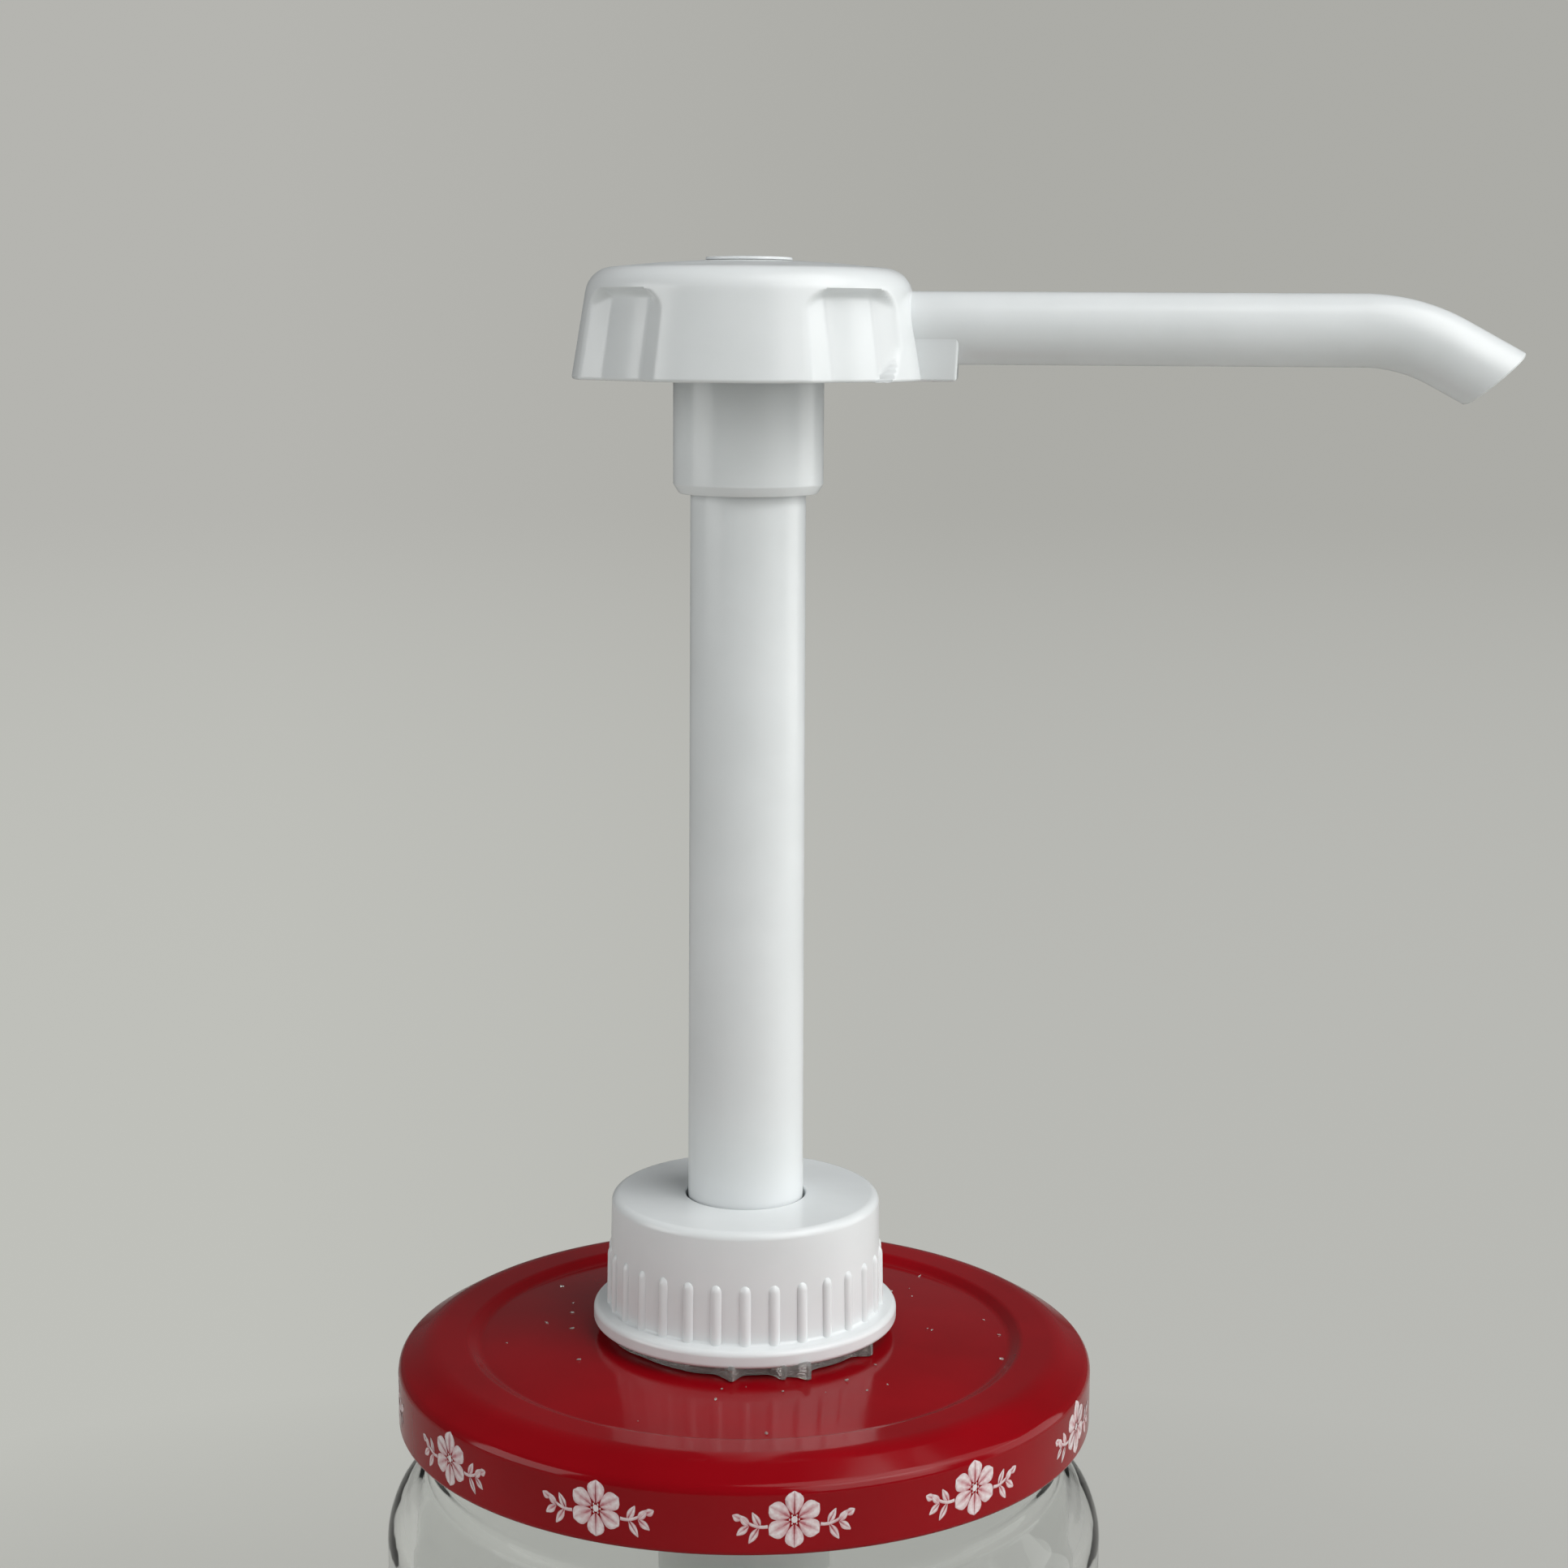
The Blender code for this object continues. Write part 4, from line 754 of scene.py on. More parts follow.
# ---- Lid ----
@dataclass
class Lid(Assembly):
    """The pressed lid with its printed ring of blossoms, lugs and seal."""

    ring: NodeTool
    hole_radius: float = 0.0134
    radius: float = 0.04215
    top: float = 0.1694
    bottom: float = 0.1594
    crown: float = 0.1700
    crown_radius: float = 0.0190
    panel_foot: float = 0.1686
    panel_radius: float = 0.03235
    ring_inner: float = 0.03375
    shoulder_foot: float = 0.1671
    shoulder_top_radius: float = 0.0383
    gauge: float = 0.0005
    curl: float = 0.0012
    lug_count: int = 6
    lug_reach: float = 0.0013
    prints: int = 12
    print_level: float = 0.0041
    print_lift: float = 0.00003

    def outline(self) -> Outline:
        """Outer side of the sheet, from the hole to the foot of the skirt."""
        return rounded([
            (self.hole_radius, self.crown), (self.crown_radius, self.crown, 0.03),
            (self.panel_radius, self.panel_foot, 0.0014), (self.ring_inner, self.top, 0.0014),
            (self.shoulder_top_radius, self.top, 0.0045), (self.radius, self.shoulder_foot, 0.0016),
            (self.radius, self.bottom + self.curl * 0.8)], 7.0)

    def surface(self, length: float) -> tuple[Vector, Vector]:
        """Point and outward normal at a distance up the outside from the skirt's foot."""
        path = self.outline()[::-1]
        left = length - self.curl * 0.8
        for before, after in zip(path, path[1:]):
            leg = after - before
            if left <= leg.length:
                return before + leg * (left / leg.length), Vector((leg.y, -leg.x)).normalized()
            left -= leg.length
        raise ValueError("the print runs off the lid")

    def sheet(self) -> Piece:
        """The pressed sheet with its rolled foot."""
        outer = self.outline()
        inner = inset(outer, self.gauge)
        middle = Vector((self.radius - self.curl / 2, self.bottom + self.curl / 2))
        roll = [middle + self.curl / 2 * Vector((math.cos(math.radians(angle)), math.sin(math.radians(angle))))
                for angle in range(20, -231, -18)]
        return lathe("lid_sheet", outer + roll + inner[:0:-1] + [inner[0]], Sides.FINEST)

    @staticmethod
    def inked(bm: Mesh, tint: Layer, spot: Vector, pinkness: float) -> Vert:
        """One point of the print, in millimetres, with its pinkness."""
        vert = bm.verts.new((spot.x, spot.y, 0.0))
        vert[tint] = pinkness
        return vert

    def petal(self, bm: Mesh, tint: Layer, root: Vector, heading: float,
              length: float, width: float, tip: float, flat: bool = False) -> None:
        """One petal or leaf as two halves with a bare vein between them.

        Args:
            bm: Mesh to add to.
            tint: Layer that holds how pink each point is.
            root: Foot of the petal, in millimetres along the skirt and up it.
            heading: Direction in degrees.
            length: Length in millimetres.
            width: Full width in millimetres.
            tip: Where the petal is widest, as a share of its length.
            flat: Whether the tip is blunt.
        """
        turn = Matrix.Rotation(math.radians(heading), 2)
        steps = 9
        for side in (1.0, -1.0):
            rows = []
            for step in range(steps + 1):
                share = step / steps
                bend = share / tip if share < tip else (1.0 - share) / (1.0 - tip)
                swell = math.sin(min(bend, 1.0) * math.pi / 2) ** (0.7 if flat else 0.9)
                vein = 0.05 * (1.0 - share) + 0.02
                edge = max(width / 2 * swell, vein + 0.015)
                row = []
                for part, pinkness in ((vein, 0.75), (vein + (edge - vein) * 0.45, 0.12), (edge, 0.5)):
                    spot = root + turn @ Vector((share * length, side * part))
                    row.append(self.inked(bm, tint, spot, min(
                        pinkness * (1.1 - share * 0.5) + 0.35 * (1.0 - share) ** 2, 1.0)))
                rows.append(row)
            strips(bm, rows)

    def dot(self, bm: Mesh, tint: Layer, centre: Vector, radius: float,
            pinkness: float) -> None:
        """One round spot."""
        turns = [math.tau * step / 14 for step in range(14)]
        bm.faces.new([self.inked(bm, tint, Vector((centre.x + radius * math.cos(angle),
                                                   centre.y + radius * math.sin(angle))), pinkness)
                      for angle in turns])

    def stalk(self, bm: Mesh, tint: Layer, points: Sequence[tuple[float, float]],
              width: float) -> None:
        """A thin curved stalk through a few points, in millimetres."""
        rows = []
        path = [Vector(point) for point in points]
        for index, point in enumerate(path):
            along = path[min(index + 1, len(path) - 1)] - path[max(index - 1, 0)]
            across = Vector((-along.y, along.x)).normalized() * (width / 2 * (1.15 - 0.45 * index / len(path)))
            rows.append([self.inked(bm, tint, point + across * share, pinkness)
                         for share, pinkness in ((-1.0, 0.55), (0.0, 0.1), (1.0, 0.55))])
        strips(bm, rows)

    def spray(self) -> Piece:
        """One blossom between two leafy twigs, laid on the skirt and the foot of the shoulder."""
        bm = bmesh.new()
        tint = bm.verts.layers.float.new("tint")
        blossom = Vector((0.0, 0.15))
        for index in range(6):
            heading = 30.0 + 60.0 * index
            root = blossom + Matrix.Rotation(math.radians(heading), 2) @ Vector((0.62, 0.0))
            self.petal(bm, tint, root, heading, 2.55, 2.05, 0.66, flat=True)
        self.dot(bm, tint, blossom, 0.34, 0.05)
        for index in range(6):
            angle = math.radians(60.0 * index)
            self.dot(bm, tint, blossom + 0.52 * Vector((math.cos(angle), math.sin(angle))), 0.07, 0.2)
        for side in (1.0, -1.0):
            self.stalk(bm, tint, [(side * (2.9 + 0.42 * step), -0.55 + 0.035 * step * step - 0.09 * step)
                                  for step in range(8)], 0.26)
            for reach, level, lean, size in ((3.7, -0.62, 62.0, 1.9), (3.9, -0.72, -58.0, 2.0),
                                             (4.9, -0.45, 48.0, 1.6), (5.0, -0.5, -38.0, 1.6)):
                heading = lean if side > 0 else 180.0 - lean
                self.petal(bm, tint, Vector((side * reach, level)), heading, size, 0.78, 0.45)
            self.petal(bm, tint, Vector((side * 5.75, 0.25)), 28.0 if side > 0 else 152.0, 1.1, 0.8, 0.5)
        for vert in bm.verts:
            along, up = vert.co.x / 1000.0, self.print_level + vert.co.y / 1000.0
            point, normal = self.surface(up)
            lifted = point + normal * self.print_lift
            vert.co = polar(lifted.x, along / self.radius, lifted.y)
        shell = bmesh.ops.extrude_face_region(bm, geom=list(bm.faces))
        for item in shell["geom"]:
            if isinstance(item, Vert):
                item.co *= 1.0 - 2 * self.print_lift / self.radius
        return finished("lid_spray", bm, 60.0)

    def lug(self) -> Piece:
        """One lug of the skirt's foot, pressed inwards between two glass threads."""
        bm = bmesh.new()
        rows = []
        for step in range(13):
            angle = math.radians(-7.5 + 15.0 * step / 12)
            swell = math.sin(math.pi * step / 12) ** 0.4 if 0 < step < 12 else 0.05
            inner = self.radius - self.curl - self.lug_reach * swell
            outer = self.radius - self.curl * 0.6
            low, high = self.bottom + 0.0002, self.bottom + 0.0014
            corners = ((inner, low + 0.0003), (inner, high - 0.0003), (inner + 0.0003, high), (outer, high),
                       (outer, low), (inner + 0.0003, low))
            rows.append([bm.verts.new(polar(r, angle, z)) for r, z in corners])
        bridge(bm, rows, capped=True)
        return finished("lid_lug", bm)

    def build(self) -> None:
        """Make the lid and what is fixed inside it."""
        self.place(self.sheet(), Body.LID, Slot.ENAMEL, "jar_lid")
        ink, enamel = self.finishes.ink, self.finishes.of_slot[Slot.ENAMEL]
        for name, shape, count, start_deg, finish in (
                ("lid_prints", self.spray(), self.prints, -77.0, ink),
                ("lid_lugs", self.lug(), self.lug_count, 30.0, enamel)):
            copies = self.ring.run(name, shape, {
                "Count": count, "Start Angle": math.radians(start_deg), "Finish": finish})
            self.place(copies, Body.LID, Slot.ENAMEL, finish=finish)
        self.turned("lid_seal", [
            (0.0362, 0.1679), (0.0387, 0.1679, 0.0002), (0.0387, 0.1686, 0.0002), (0.0362, 0.1686, 0.0002)],
            Body.LID, Slot.COMPOUND, "lid_seal_ring", sides=Sides.FINE)


# ---- Closure ----
@dataclass
class Closure(Assembly):
    """The ribbed cap, the neck it screws on, the sealant and the crumbs round it."""

    ring: NodeTool
    crumbs: NodeTool
    bottom: float = 0.1714
    top: float = 0.1871
    bore: float = 0.0144
    foot_radius: float = 0.0165
    top_radius: float = 0.0162
    flange_radius: float = 0.01846
    flange_height: float = 0.0022
    hole: float = 0.00725
    top_wall: float = 0.0016
    rib_count: int = 30
    rib_radius: float = 0.00088
    rib_proud: float = 0.00040
    rib_height: float = 0.0073
    rib_end: float = 0.0011

    def shell(self) -> Piece:
        """The cap without its ribs."""
        flange_top = self.bottom + self.flange_height
        outline = closed([
            (self.bore, self.top - self.top_wall), (self.hole, self.top - self.top_wall, 0.0003),
            (self.hole, self.top, 0.00025), (self.top_radius, self.top, 0.0010),
            (self.foot_radius, flange_top, 0.0004), (self.flange_radius, flange_top - 0.0002, 0.0007),
            (self.flange_radius, self.bottom, 0.0005), (self.bore, self.bottom, 0.0003)], 10.0)
        return lathe("cap_shell", outline, Sides.FINE)

    def rib(self) -> Piece:
        """One grip rib with a rounded, leaning end."""
        bm = bmesh.new()
        low = self.bottom + self.flange_height - 0.0006
        high = self.bottom + self.flange_height + self.rib_height
        centre = self.foot_radius + self.rib_proud - self.rib_radius
        end = self.rib_end
        levels = [(1.0, low), (1.0, high - end)]
        levels += [(math.cos(math.radians(step)) ** 0.8, high - end + end * math.sin(math.radians(step)))
                   for step in (15, 30, 45, 60, 75, 86)]
        rings = []
        for size, z in levels:
            lean = centre - (z - low) / (self.top - low) * (self.foot_radius - self.top_radius)
            ring = []
            for step in range(20):
                angle = math.tau * step / 20
                ring.append(bm.verts.new((lean + self.rib_radius * size * math.cos(angle),
                                          0.92 * self.rib_radius * size * math.sin(angle), z)))
            rings.append(ring)
        bridge(bm, rings, capped=True)
        return finished("cap_rib", bm)

    def squeezed(self, angle: float, r: float, z: float) -> tuple[float, float]:
        """Sealant pressed out unevenly past the flange, most of it in a few lumps."""
        if r < 0.0160:
            return r, z
        out = 0.0005 * noise.noise(Vector((math.cos(angle), math.sin(angle), 0.4)) * 4.0)
        for middle, width, size in ((-63.0, 4.5, 0.0027), (-71.0, 2.0, 0.0019), (-90.0, 3.5, 0.0020),
                                    (-30.0, 3.0, 0.0015), (35.0, 6.0, 0.0021), (150.0, 5.0, 0.0018)):
            away = away_from(math.degrees(angle), middle)
            ripple = 1.0 + 0.22 * math.sin(away * 0.9)
            out += size * math.exp(-(away / width) ** 2) * ripple
        return r + max(out, -0.0004), z + 0.25 * max(out, 0.0) * (1.0 if z > 0.1707 else 0.0)

    def build(self) -> None:
        """Make the closure."""
        self.place(self.shell(), Body.LID, Slot.WHITE, "closure_cap")
        ribs = self.ring.run("cap_ribs", self.rib(), {
            "Count": self.rib_count, "Start Angle": math.radians(-84.4),
            "Finish": self.finishes.of_slot[Slot.WHITE]})
        self.place(ribs, Body.LID, Slot.WHITE)
        bed = closed([(0.0139, 0.17005), (0.0169, 0.17005, 0.0003), (0.0169, 0.1713, 0.0004), (0.0139, 0.1713)])
        self.place(lathe("sealant_lumps", bed, Sides.FINEST, warp=self.squeezed), Body.LID, Slot.SEALANT,
                   "sealant_bed")
        self.turned("neck_tube", [
            (0.0109, 0.1676), (0.0170, 0.1676, 0.0003), (0.0170, 0.1692, 0.0003), (0.0130, 0.1692),
            (0.0130, 0.1751), (0.0139, 0.1761, 0.0003), (0.0130, 0.1771), (0.0130, 0.1816, 0.0003),
            (0.0109, 0.1816, 0.0003)], Body.LID, Slot.WHITE, "neck_fitting")
        self.turned("neck_washer", [
            (0.0109, 0.1819), (0.0133, 0.1819, 0.0001), (0.0133, 0.1827, 0.0001), (0.0109, 0.1827)],
            Body.LID, Slot.RUBBER, "neck_gasket")
        self.place(self.scatter(), Body.LID, Slot.SEALANT)

    def scatter(self) -> Piece:
        """Crumbs of sealant left on the lid's panel."""
        bm = bmesh.new()
        bmesh.ops.create_icosphere(bm, subdivisions=2, radius=1.0)
        for vert in bm.verts:
            bumpy = 1.0 + 0.45 * noise.noise(vert.co * 2.3)
            vert.co = Vector((vert.co.x * bumpy, vert.co.y * 0.6 * bumpy, vert.co.z * 0.35))
        return self.crumbs.run("sealant_crumbs", finished("crumb", bm), {
            "Count": 34, "Inner Radius": 0.0200, "Outer Radius": 0.0318, "Inner Height": 0.17005,
            "Outer Height": 0.16875, "Largest": 0.00034, "Seed": 7, "Finish": self.finishes.of_slot[Slot.SEALANT]})


# ---- Pump ----
@dataclass
class PumpWorks(Assembly):
    """Barrel, dip tube, guide, valves, piston and spring."""

    bore: float = 0.0092
    barrel_radius: float = 0.0106
    barrel_top: float = 0.1842
    bore_floor: float = 0.06002
    seat: float = 0.05202
    tail_top: float = 0.05002
    tail_bottom: float = 0.03802
    tube_radius: float = 0.0040
    tube_bore: float = 0.0029
    tube_foot: float = 0.0085
    tube_cut: float = math.radians(25.0)
    spring_low: float = 0.0643
    spring_high: float = 0.1617
    spring_turns: int = 14
    end_pitch: float = 0.00165
    wire: float = 0.00055
    coil: float = 0.0072
    stroke: float = 0.0800

    def barrel(self) -> Piece:
        """The barrel with its ball seat and the socket for the dip tube."""
        shoulder = self.seat + 0.0014
        outline = closed([
            (self.bore, self.barrel_top), (0.0136, self.barrel_top, 0.0002), (0.0136, 0.1830, 0.0002),
            (self.barrel_radius, 0.1830, 0.0002), (self.barrel_radius, shoulder, 0.0010),
            (0.0063, self.tail_top, 0.0012), (0.0063, self.tail_bottom, 0.0004), (0.0043, self.tail_bottom, 0.0003),
            (0.0043, self.tail_top), (0.0030, self.tail_top), (0.0030, self.seat), (0.0060, shoulder),
            (0.0060, self.bore_floor), (self.bore, self.bore_floor)])
        return lathe("barrel_tube", divided(outline, 0.012), Sides.MEDIUM)

    def dip_tube(self) -> Piece:
        """The dip tube, cut at a slant at its foot."""
        slope = math.tan(self.tube_cut)
        top = self.tail_top - 0.0003

        def cut(angle: float, r: float, z: float) -> tuple[float, float]:
            """Slant the foot."""
            return r, z if z > self.tail_bottom else z + slope * (self.tube_radius + r * math.sin(angle))

        outline = [Vector((self.tube_bore, top)), Vector((self.tube_radius, top)),
                   Vector((self.tube_radius, self.tube_foot)), Vector((self.tube_bore, self.tube_foot))]
        return lathe("dip_pipe", outline, Sides.TUBE, warp=cut)

    def spring(self) -> Piece:
        """The return spring, closer wound at its ends."""
        low, high = self.spring_low + self.wire, self.spring_high - self.wire
        heights = [low, low + self.end_pitch]
        pitch = (high - low - 2 * self.end_pitch) / (self.spring_turns - 2)
        heights += [heights[1] + pitch * turn for turn in range(1, self.spring_turns - 1)]
        heights.append(high)
        per_turn = 28
        path = []
        for step in range(self.spring_turns * per_turn + 1):
            turn, part = divmod(step, per_turn)
            after = heights[min(turn + 1, self.spring_turns)]
            z = heights[turn] + (after - heights[turn]) * part / per_turn
            angle = math.tau * step / per_turn
            path.append(polar(self.coil, angle, z))
        bm = bmesh.new()
        rings = []
        for index, point in enumerate(path):
            along = (path[min(index + 1, len(path) - 1)] - path[max(index - 1, 0)]).normalized()
            side = Vector((point.x, point.y, 0.0)).normalized()
            rings.append(wire_ring(bm, point, side, along.cross(side).normalized(), self.wire, 10))
        bridge(bm, rings, capped=True)
        return finished("spring_wire", bm)

    def ball(self, name: str, radius: float, height: float) -> Piece:
        """A valve ball with its centre at a height on the axis."""
        bm = bmesh.new()
        bmesh.ops.create_uvsphere(bm, u_segments=48, v_segments=24, radius=radius)
        bmesh.ops.translate(bm, vec=(0.0, 0.0, height), verts=bm.verts)
        return finished(name, bm)

    def build(self) -> None:
        """Make the works of the pump."""
        self.place(self.barrel(), Body.LID, Slot.NATURAL, "pump_barrel")
        self.place(self.dip_tube(), Body.LID, Slot.NATURAL, "dip_tube")
        self.turned("guide_bush", [
            (0.00725, 0.1723), (0.0089, 0.1723, 0.0002), (0.0089, 0.1845), (0.0120, 0.1845),
            (0.0120, 0.1852, 0.0002), (0.00725, 0.1852, 0.0003)], Body.LID, Slot.WHITE, "stem_guide")
        spring = self.place(self.spring(), Body.LID, Slot.STEEL, "return_spring")
        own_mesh(spring)
        for name, body, radius in (("inlet_sphere", Body.INLET_BALL, 0.0040),
                                   ("outlet_sphere", Body.OUTLET_BALL, 0.0030)):
            low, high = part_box(body.value)
            self.place(self.ball(name, radius, (low.z + high.z) / 2), body, Slot.STEEL, body.value)
        self.turned("piston_ring", [
            (0.0063, 0.1638), (0.0089, 0.1638, 0.0002), (0.0089, 0.1648, 0.0003), (0.0080, 0.1658, 0.0004),
            (0.0080, 0.1682, 0.0004), (0.0089, 0.1692, 0.0003), (0.0089, 0.1702, 0.0002), (0.0063, 0.1702)],
            Body.PISTON, Slot.NATURAL, "piston_seal")
        self.dress(Slot.NATURAL, "ball_cage", "outlet_seat")
        self.dress(Slot.WHITE, "piston_core")


# ---- Stem, spout and head ----
@dataclass
class Plunger(Assembly):
    """The stem with its collar, the fluted head, the spout and the plug."""

    stem_bottom: float = 0.1723
    stem_top: float = 0.2873
    taper_start: float = 0.1901
    stem_foot_radius: float = 0.00695
    stem_top_radius: float = 0.0067
    collar_bottom: float = 0.2716
    collar_radius: float = 0.00875
    head_bottom: float = 0.2847
    head_top: float = 0.2973
    crown: float = 0.0010
    foot_radius: float = 0.0205
    lean: float = math.tan(math.radians(9.4))
    wall: float = 0.0044
    top_wall: float = 0.0018
    flute_angles: tuple[float, ...] = (45.0, 135.0, 225.0, 315.0)
    flute_half_deg: float = 20.2
    flute_wall_deg: float = 9.5
    flute_depth: float = 0.0016
    flute_top: float = 0.29495
    flute_corner: float = 0.0016
    flute_end: float = 0.0011
    cheek_foot: float = 0.0112
    cheek_top: float = 0.0044
    cheek_height: float = 0.0090
    cheek_edge: float = 0.00045
    spout_radius: float = 0.00415
    spout_bore: float = 0.0026
    spout_axis: float = 0.29075
    bend_start: float = 0.0700
    bend_radius: float = 0.0200
    bend: float = math.radians(28.5)
    tip_length: float = 0.0062
    tip_cut: float = math.radians(41.5)
    web_root: float = 0.0108
    web_foot: float = 0.0241
    web_top: float = 0.0244

    def stem(self) -> Piece:
        """The hollow stem, wider inside at its top."""
        outline = closed([
            (0.0050, self.stem_bottom), (self.stem_foot_radius, self.stem_bottom),
            (self.stem_foot_radius, self.taper_start, 0.05), (self.stem_top_radius, self.stem_top),
            (0.0056, self.stem_top), (0.0056, self.stem_top - 0.0096), (0.0050, self.stem_top - 0.0096)])
        return lathe("stem_tube", divided(outline, 0.010), Sides.MEDIUM)

    def collar(self) -> Piece:
        """The sleeve under the head, chamfered at its foot."""
        outline = closed([
            (0.00704, self.collar_bottom + 0.0004), (0.00725, self.collar_bottom, 0.0002),
            (self.collar_radius - 0.0007, self.collar_bottom, 0.0003),
            (self.collar_radius, self.collar_bottom + 0.0011, 0.0004), (self.collar_radius, self.head_bottom),
            (0.00704, self.head_bottom)])
        return lathe("collar_sleeve", outline, Sides.FINE)

    def carved(self, angle: float, r: float, z: float) -> tuple[float, float]:
        """Cut the four flutes and leave the cheeks beside the spout."""
        if z > self.flute_top or r < self.foot_radius - self.wall + 0.0007:
            return r, z
        away = min(abs(away_from(math.degrees(angle), middle)) for middle in self.flute_angles)
        inward = self.flute_half_deg + 0.8 * (z - self.head_bottom) / 0.01 - away
        depth = self.flute_depth * held(inward / self.flute_wall_deg)
        corner = held(1.0 - (away - self.flute_half_deg + self.flute_wall_deg) / self.flute_wall_deg)
        end = self.flute_top - self.flute_corner * (1.0 - math.sin(corner * math.pi / 2))
        depth *= math.sin(held((end - z) / self.flute_end) * math.pi / 2) ** 0.8
        if math.cos(angle) > 0.0:
            slope = (self.cheek_foot - self.cheek_top) / self.cheek_height
            half = self.cheek_foot - (z - self.head_bottom) * slope
            depth *= held((abs(r * math.sin(angle)) - half) / self.cheek_edge)
        return r - max(depth, 0.0), z

    def head(self) -> Piece:
        """The fluted knob."""
        shoulder = self.foot_radius - (self.head_top - self.head_bottom) * self.lean
        cavity_top = self.head_top - self.top_wall
        cavity = self.foot_radius - self.wall
        inner_top = cavity - (cavity_top - self.head_bottom) * self.lean
        outer = rounded([
            (cavity, self.head_bottom), (self.foot_radius, self.head_bottom, 0.00035),
            (shoulder, self.head_top - 0.0001, 0.0033), (0.0110, self.head_top + self.crown * 0.62, 0.012),
            (0.0048, self.head_top + self.crown, 0.01), (0.0036, self.head_top + self.crown)], 6.0)
        fine: Outline = [outer[0]]
        for before, after in zip(outer, outer[1:]):
            step = 0.0003 if max(before.y, after.y) < self.flute_top + 0.0006 and before.x > cavity + 0.001 else 0.002
            fine.extend(divided([before, after], step)[1:])
        inner = rounded([(0.0036, cavity_top), (inner_top, cavity_top, 0.0015), (cavity, self.head_bottom)])
        return lathe("head_knob", fine + inner[:-1], Sides.FINEST, warp=self.carved)

    def path(self) -> list[tuple[Vector, Vector]]:
        """Centre line of the spout with its up direction at each point."""
        line = [(Vector((x, 0.0, self.spout_axis)), Vector((0.0, 0.0, 1.0)))
                for x in (0.0040, 0.0150, 0.0190, 0.0280, 0.0400, 0.0520, 0.0640)]
        centre = Vector((self.bend_start, 0.0, self.spout_axis - self.bend_radius))
        steps = 16
        for step in range(steps + 1):
            angle = self.bend * step / steps
            up = Vector((math.sin(angle), 0.0, math.cos(angle)))
            line.append((centre + self.bend_radius * up, up))
        return line

    def spout(self) -> Piece:
        """The spout, hollow from its slanted tip, with its core over the stem."""
        bm = bmesh.new()
        sides = 72
        line = self.path()
        along = Vector((math.cos(self.bend), 0.0, -math.sin(self.bend)))
        tip = line[-1][0] + along * self.tip_length
        turn = math.pi / 2 - self.tip_cut
        face = Vector((math.cos(turn), 0.0, -math.sin(turn)))
        across = Vector((0.0, 1.0, 0.0))
        outer = [wire_ring(bm, point, across, up, self.spout_radius, sides) for point, up in line]
        up = line[-1][1]

        def at_face(radius: float, back: float) -> list[Vert]:
            """A ring of the tip, slid along the tip's axis on to its slanted face."""
            ring = wire_ring(bm, tip, across, up, radius, sides)
            for vert in ring:
                vert.co += along * ((tip - vert.co).dot(face) / along.dot(face) - back)
            return ring

        rings = [*outer, at_face(self.spout_radius, 0.0006), at_face(self.spout_radius, 0.0002),
                 at_face(self.spout_radius - 0.0002, 0.0), at_face(self.spout_bore + 0.0002, 0.0),
                 at_face(self.spout_bore, 0.0002)]
        rings += [wire_ring(bm, point, across, way, self.spout_bore, sides) for point, way in reversed(line[2:])]
        bridge(bm, rings, capped=True)
        return finished("spout_pipe", bm)

    def web(self) -> Piece:
        """The flat web under the spout's root, its free edge a little slanted."""
        bm = bmesh.new()
        half = self.spout_radius - 0.0002
        side = [(self.web_root, self.head_bottom), (self.web_foot, self.head_bottom),
                (self.web_top, self.spout_axis), (self.web_root, self.spout_axis)]
        for y in (-half, half):
            bm.faces.new([bm.verts.new((x, y, z)) for x, z in side])
        near, far = bm.faces
        for index in range(4):
            following = (index + 1) % 4
            bm.faces.new((near.verts[index], near.verts[following], far.verts[following], far.verts[index]))
        bmesh.ops.bevel(bm, geom=list(bm.edges), offset=0.00035, segments=3, profile=0.5, affect="EDGES")
        return evened(finished("spout_web", bm))

    def plug(self) -> Piece:
        """The plug whose rim shows on top of the head."""
        outline = rounded([
            (0.0, 0.28926), (0.0010, 0.28926, 0.0002), (0.0010, 0.2942), (0.0033, 0.2942), (0.0033, 0.29835),
            (0.0050, 0.29835), (0.0050, 0.29865, 0.0003), (0.0030, 0.29875), (0.0, 0.29885)])
        return lathe("plug_disc", outline, Sides.MEDIUM, closed_up=False)

    def build(self) -> None:
        """Make the plunger."""
        for piece, *nodes in ((self.stem(), "stem"), (self.collar(), "stem_collar"), (self.head(), "pump_head"),
                              (self.spout(), "spout"), (self.plug(), "head_plug"), (self.web(),)):
            self.place(piece, Body.HEAD, Slot.WHITE, *nodes)
        self.turned("spout_core", [
            (0.0036, 0.2949), (0.0036, 0.2876), (0.0070, 0.2876), (0.0070, 0.2850, 0.0002),
            (0.0086, 0.2850, 0.0003), (0.0086, 0.2949, 0.0003)], Body.HEAD, Slot.WHITE)


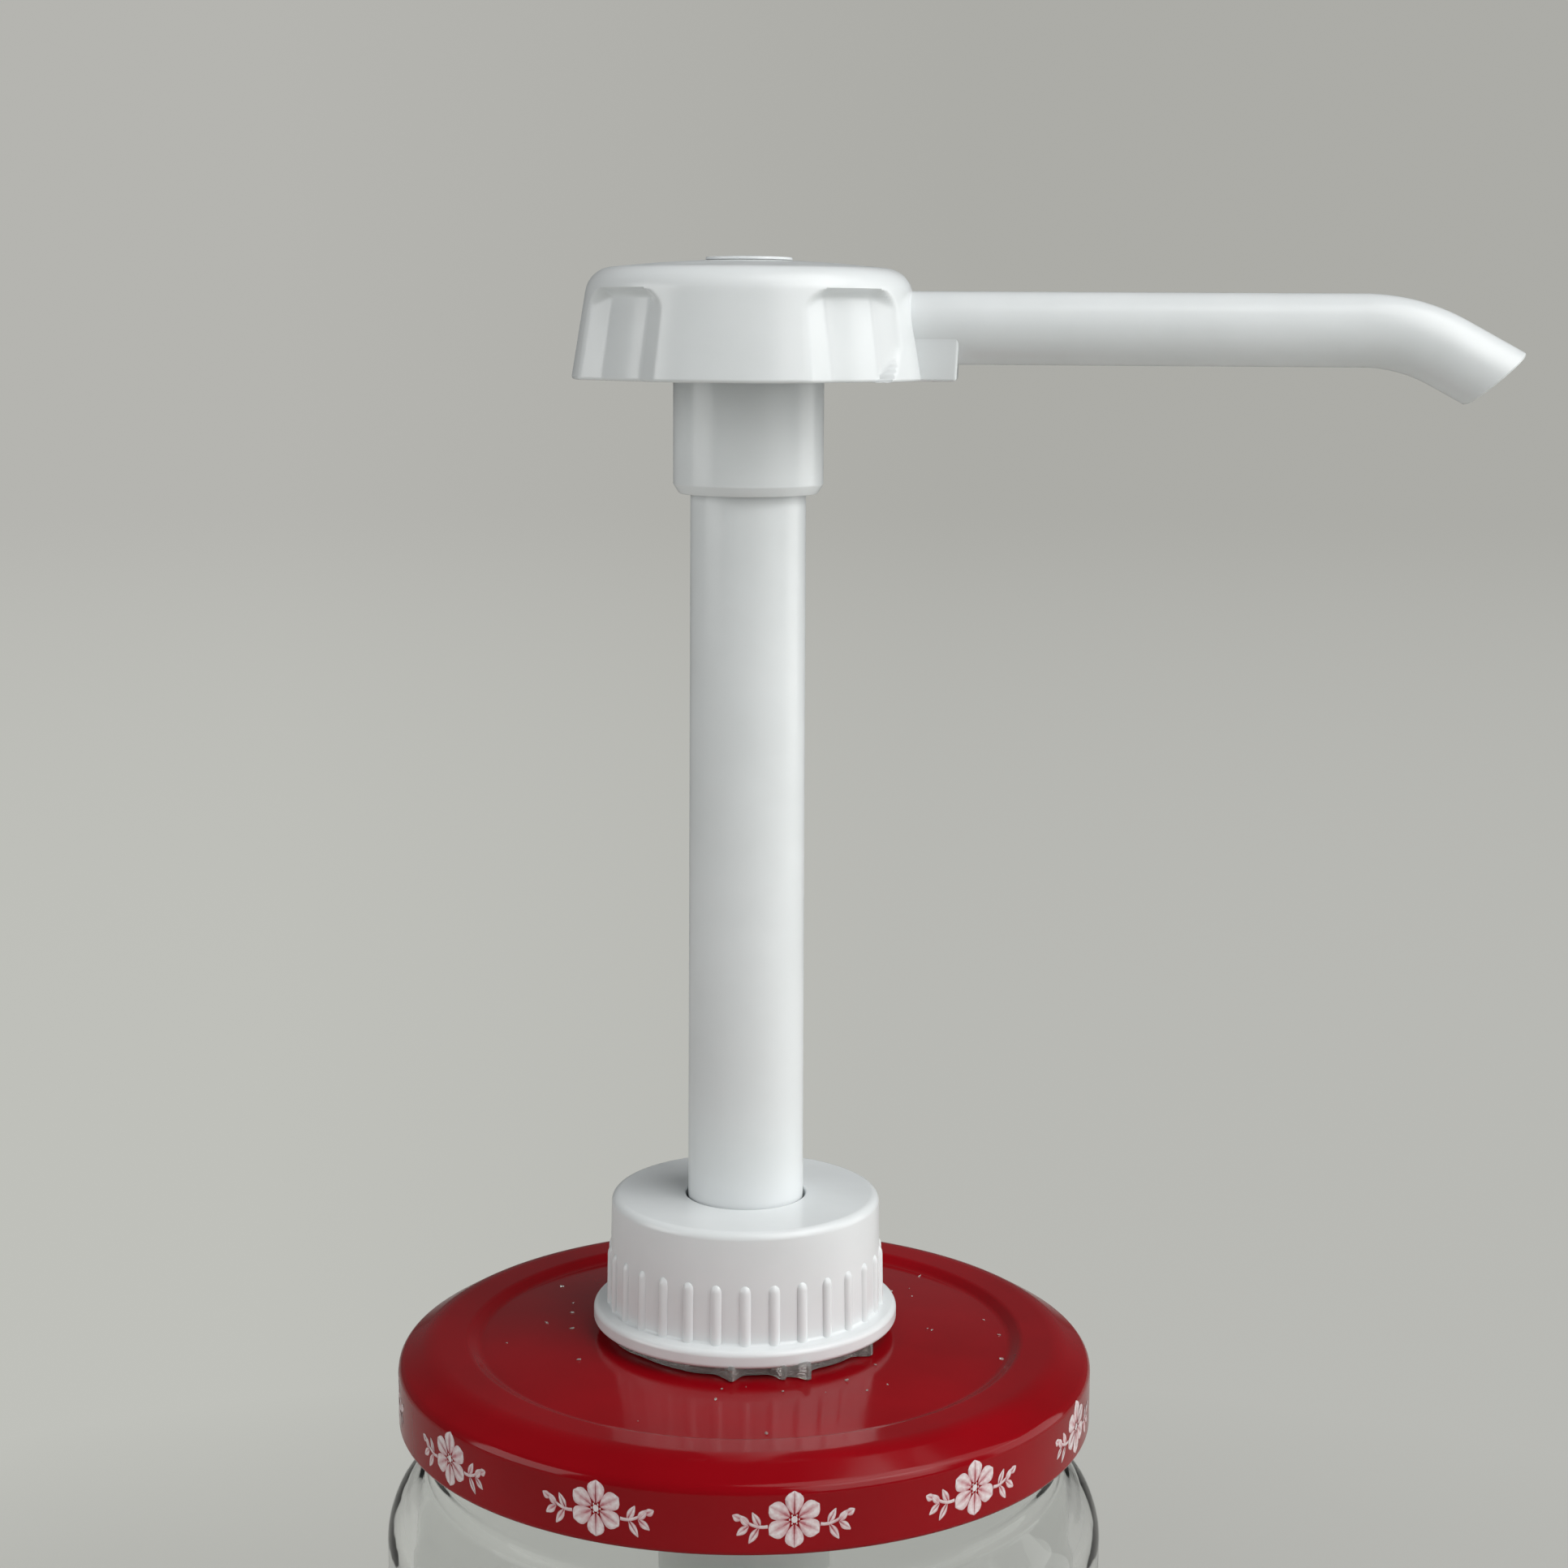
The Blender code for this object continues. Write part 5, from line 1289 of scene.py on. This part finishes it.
# ---- Studio ----
@dataclass
class Studio:
    """Camera, lamps, pale floor and the plain surroundings."""

    camera_place: tuple[float, float, float] = (0.0316, -0.3220, 0.2908)
    heading: float = 0.0843
    pitch: float = 0.1640
    roll: float = 0.0061
    focal_mm: float = 63.46
    far_greys: tuple[Colour, Colour] = ((0.462, 0.460, 0.434), (0.412, 0.411, 0.385))
    near_greys: tuple[Colour, Colour] = ((0.524, 0.529, 0.494), (0.485, 0.488, 0.460))
    aim: tuple[float, float, float] = (0.01, 0.0, 0.235)
    lamps: tuple[tuple[str, float, float, float, float], ...] = (
        ("window_low", 48.0, 25.0, 11.9, 1.3), ("window_high", 62.0, 58.0, 11.2, 1.3),
        ("window_side", 84.0, 45.0, 6.6, 1.3), ("doorway", 107.0, 7.0, 5.4, 1.05), ("room", -70.0, 16.0, 8.6, 1.05))
    lamp_reach: float = 1.6
    world_light: float = 0.12
    side_range: Span = (-0.26, -0.02)

    def camera(self) -> None:
        """Set the camera where the photograph was taken from."""
        data = bpy.data.cameras.new("camera")
        data.lens = self.focal_mm
        data.sensor_width = 36.0
        data.clip_start = 0.01
        camera = bpy.data.objects.new("camera", data)
        turn = (Matrix.Rotation(self.heading, 4, "Z") @ Matrix.Rotation(math.pi / 2 - self.pitch, 4, "X")
                @ Matrix.Rotation(self.roll, 4, "Z"))
        camera.matrix_world = Matrix.Translation(self.camera_place) @ turn
        bpy.context.scene.collection.objects.link(camera)
        bpy.context.scene.camera = camera

    def lamp(self, name: str, turn_deg: float, rise_deg: float, watts: float, size: float) -> None:
        """Hang one soft square lamp.

        Args:
            name: Name of the lamp.
            turn_deg: Direction from the pump, measured from the front towards the spout.
            rise_deg: Height above the horizon.
            watts: Power.
            size: Side of the square.
        """
        data = bpy.data.lights.new(name, "AREA")
        data.size = size
        data.energy = watts
        data.color = (1.0, 1.0, 0.985)
        turn, rise = math.radians(turn_deg), math.radians(rise_deg)
        away = Vector((math.sin(turn) * math.cos(rise), -math.cos(turn) * math.cos(rise), math.sin(rise)))
        lamp = bpy.data.objects.new(name, data)
        lamp.location = Vector(self.aim) + self.lamp_reach * away
        lamp.rotation_euler = (-away).to_track_quat("-Z", "Y").to_euler()
        bpy.context.scene.collection.objects.link(lamp)

    def surroundings(self) -> None:
        """Plain grey to look at, even soft light to be lit by."""
        world = bpy.data.worlds.new("surroundings")
        world.use_nodes = True
        world.node_tree.nodes.clear()
        nodes = ShaderNodes(world.node_tree)
        light, grey = (nodes.node("ShaderNodeBackground") for _ in range(2))
        nodes.feed(light, light.inputs, (0.98, 1.0, 1.0, 1.0), self.world_light)
        parts = nodes.node("ShaderNodeSeparateXYZ")
        nodes.link(nodes.node("ShaderNodeTexCoord").outputs["Generated"], parts.inputs[0])
        tone = nodes.blended(nodes.ranged(parts.outputs["X"], self.side_range), *self.far_greys)
        nodes.link(tone, grey.inputs["Color"])
        nodes.link(nodes.either(nodes.seen_rays(), light, grey), nodes.node("ShaderNodeOutputWorld").inputs[0])
        bpy.context.scene.world = world

    def floor(self) -> None:
        """A wide pale floor that runs into the grey of the surroundings."""
        bm = bmesh.new()
        bmesh.ops.create_circle(bm, cap_ends=True, segments=96, radius=9.0)
        bmesh.ops.translate(bm, vec=(0.0, 0.0, -0.0001), verts=bm.verts)
        floor = finished("floor", bm)
        shader = Shader("pale_floor", Roughness=0.85, Specular_IOR_Level=0.1)
        shader.set(Base_Color=shader.blended(shader.grain(0.05, 3.0), (0.50, 0.50, 0.475), (0.54, 0.54, 0.515)))
        length, parts = shader.node("ShaderNodeVectorMath", operation="LENGTH"), shader.node("ShaderNodeSeparateXYZ")
        shader.link(shader.place, length.inputs[0])
        shader.link(shader.place, parts.inputs[0])
        distance = length.outputs["Value"]
        across = shader.math("DIVIDE", parts.outputs["X"], shader.math("ADD", distance, 0.25))
        side = shader.ranged(across, self.side_range)
        far = shader.ranged(distance, (0.3, 4.4))
        far.node.interpolation_type = "SMOOTHSTEP"
        glow = shader.node("ShaderNodeEmission")
        tone = shader.blended(far, shader.blended(side, *self.near_greys), shader.blended(side, *self.far_greys))
        shader.link(tone, glow.inputs["Color"])
        share = shader.math("MULTIPLY", shader.ranged(distance, (0.16, 0.42)), shader.seen_rays())
        surface = shader.tree.nodes["Material Output"].inputs["Surface"]
        shader.link(shader.either(share, shader.principled, glow), surface)
        floor.data.materials.append(shader.material)

    def build(self) -> None:
        """Set the studio up."""
        self.camera()
        self.surroundings()
        self.floor()
        for lamp in self.lamps:
            self.lamp(*lamp)
        bpy.context.scene.view_settings.view_transform = "Standard"


def main() -> None:
    """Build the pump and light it."""
    logging.basicConfig(level=logging.INFO, format="%(name)s: %(message)s")
    finishes = Finishes()
    ring, crumbs = ring_tool(), crumb_tool()
    Studio().build()
    for assembly in (Jar(finishes), Lid(finishes, ring), Closure(finishes, ring, crumbs), PumpWorks(finishes),
                     Plunger(finishes)):
        assembly.build()


if __name__ == "__main__":
    main()
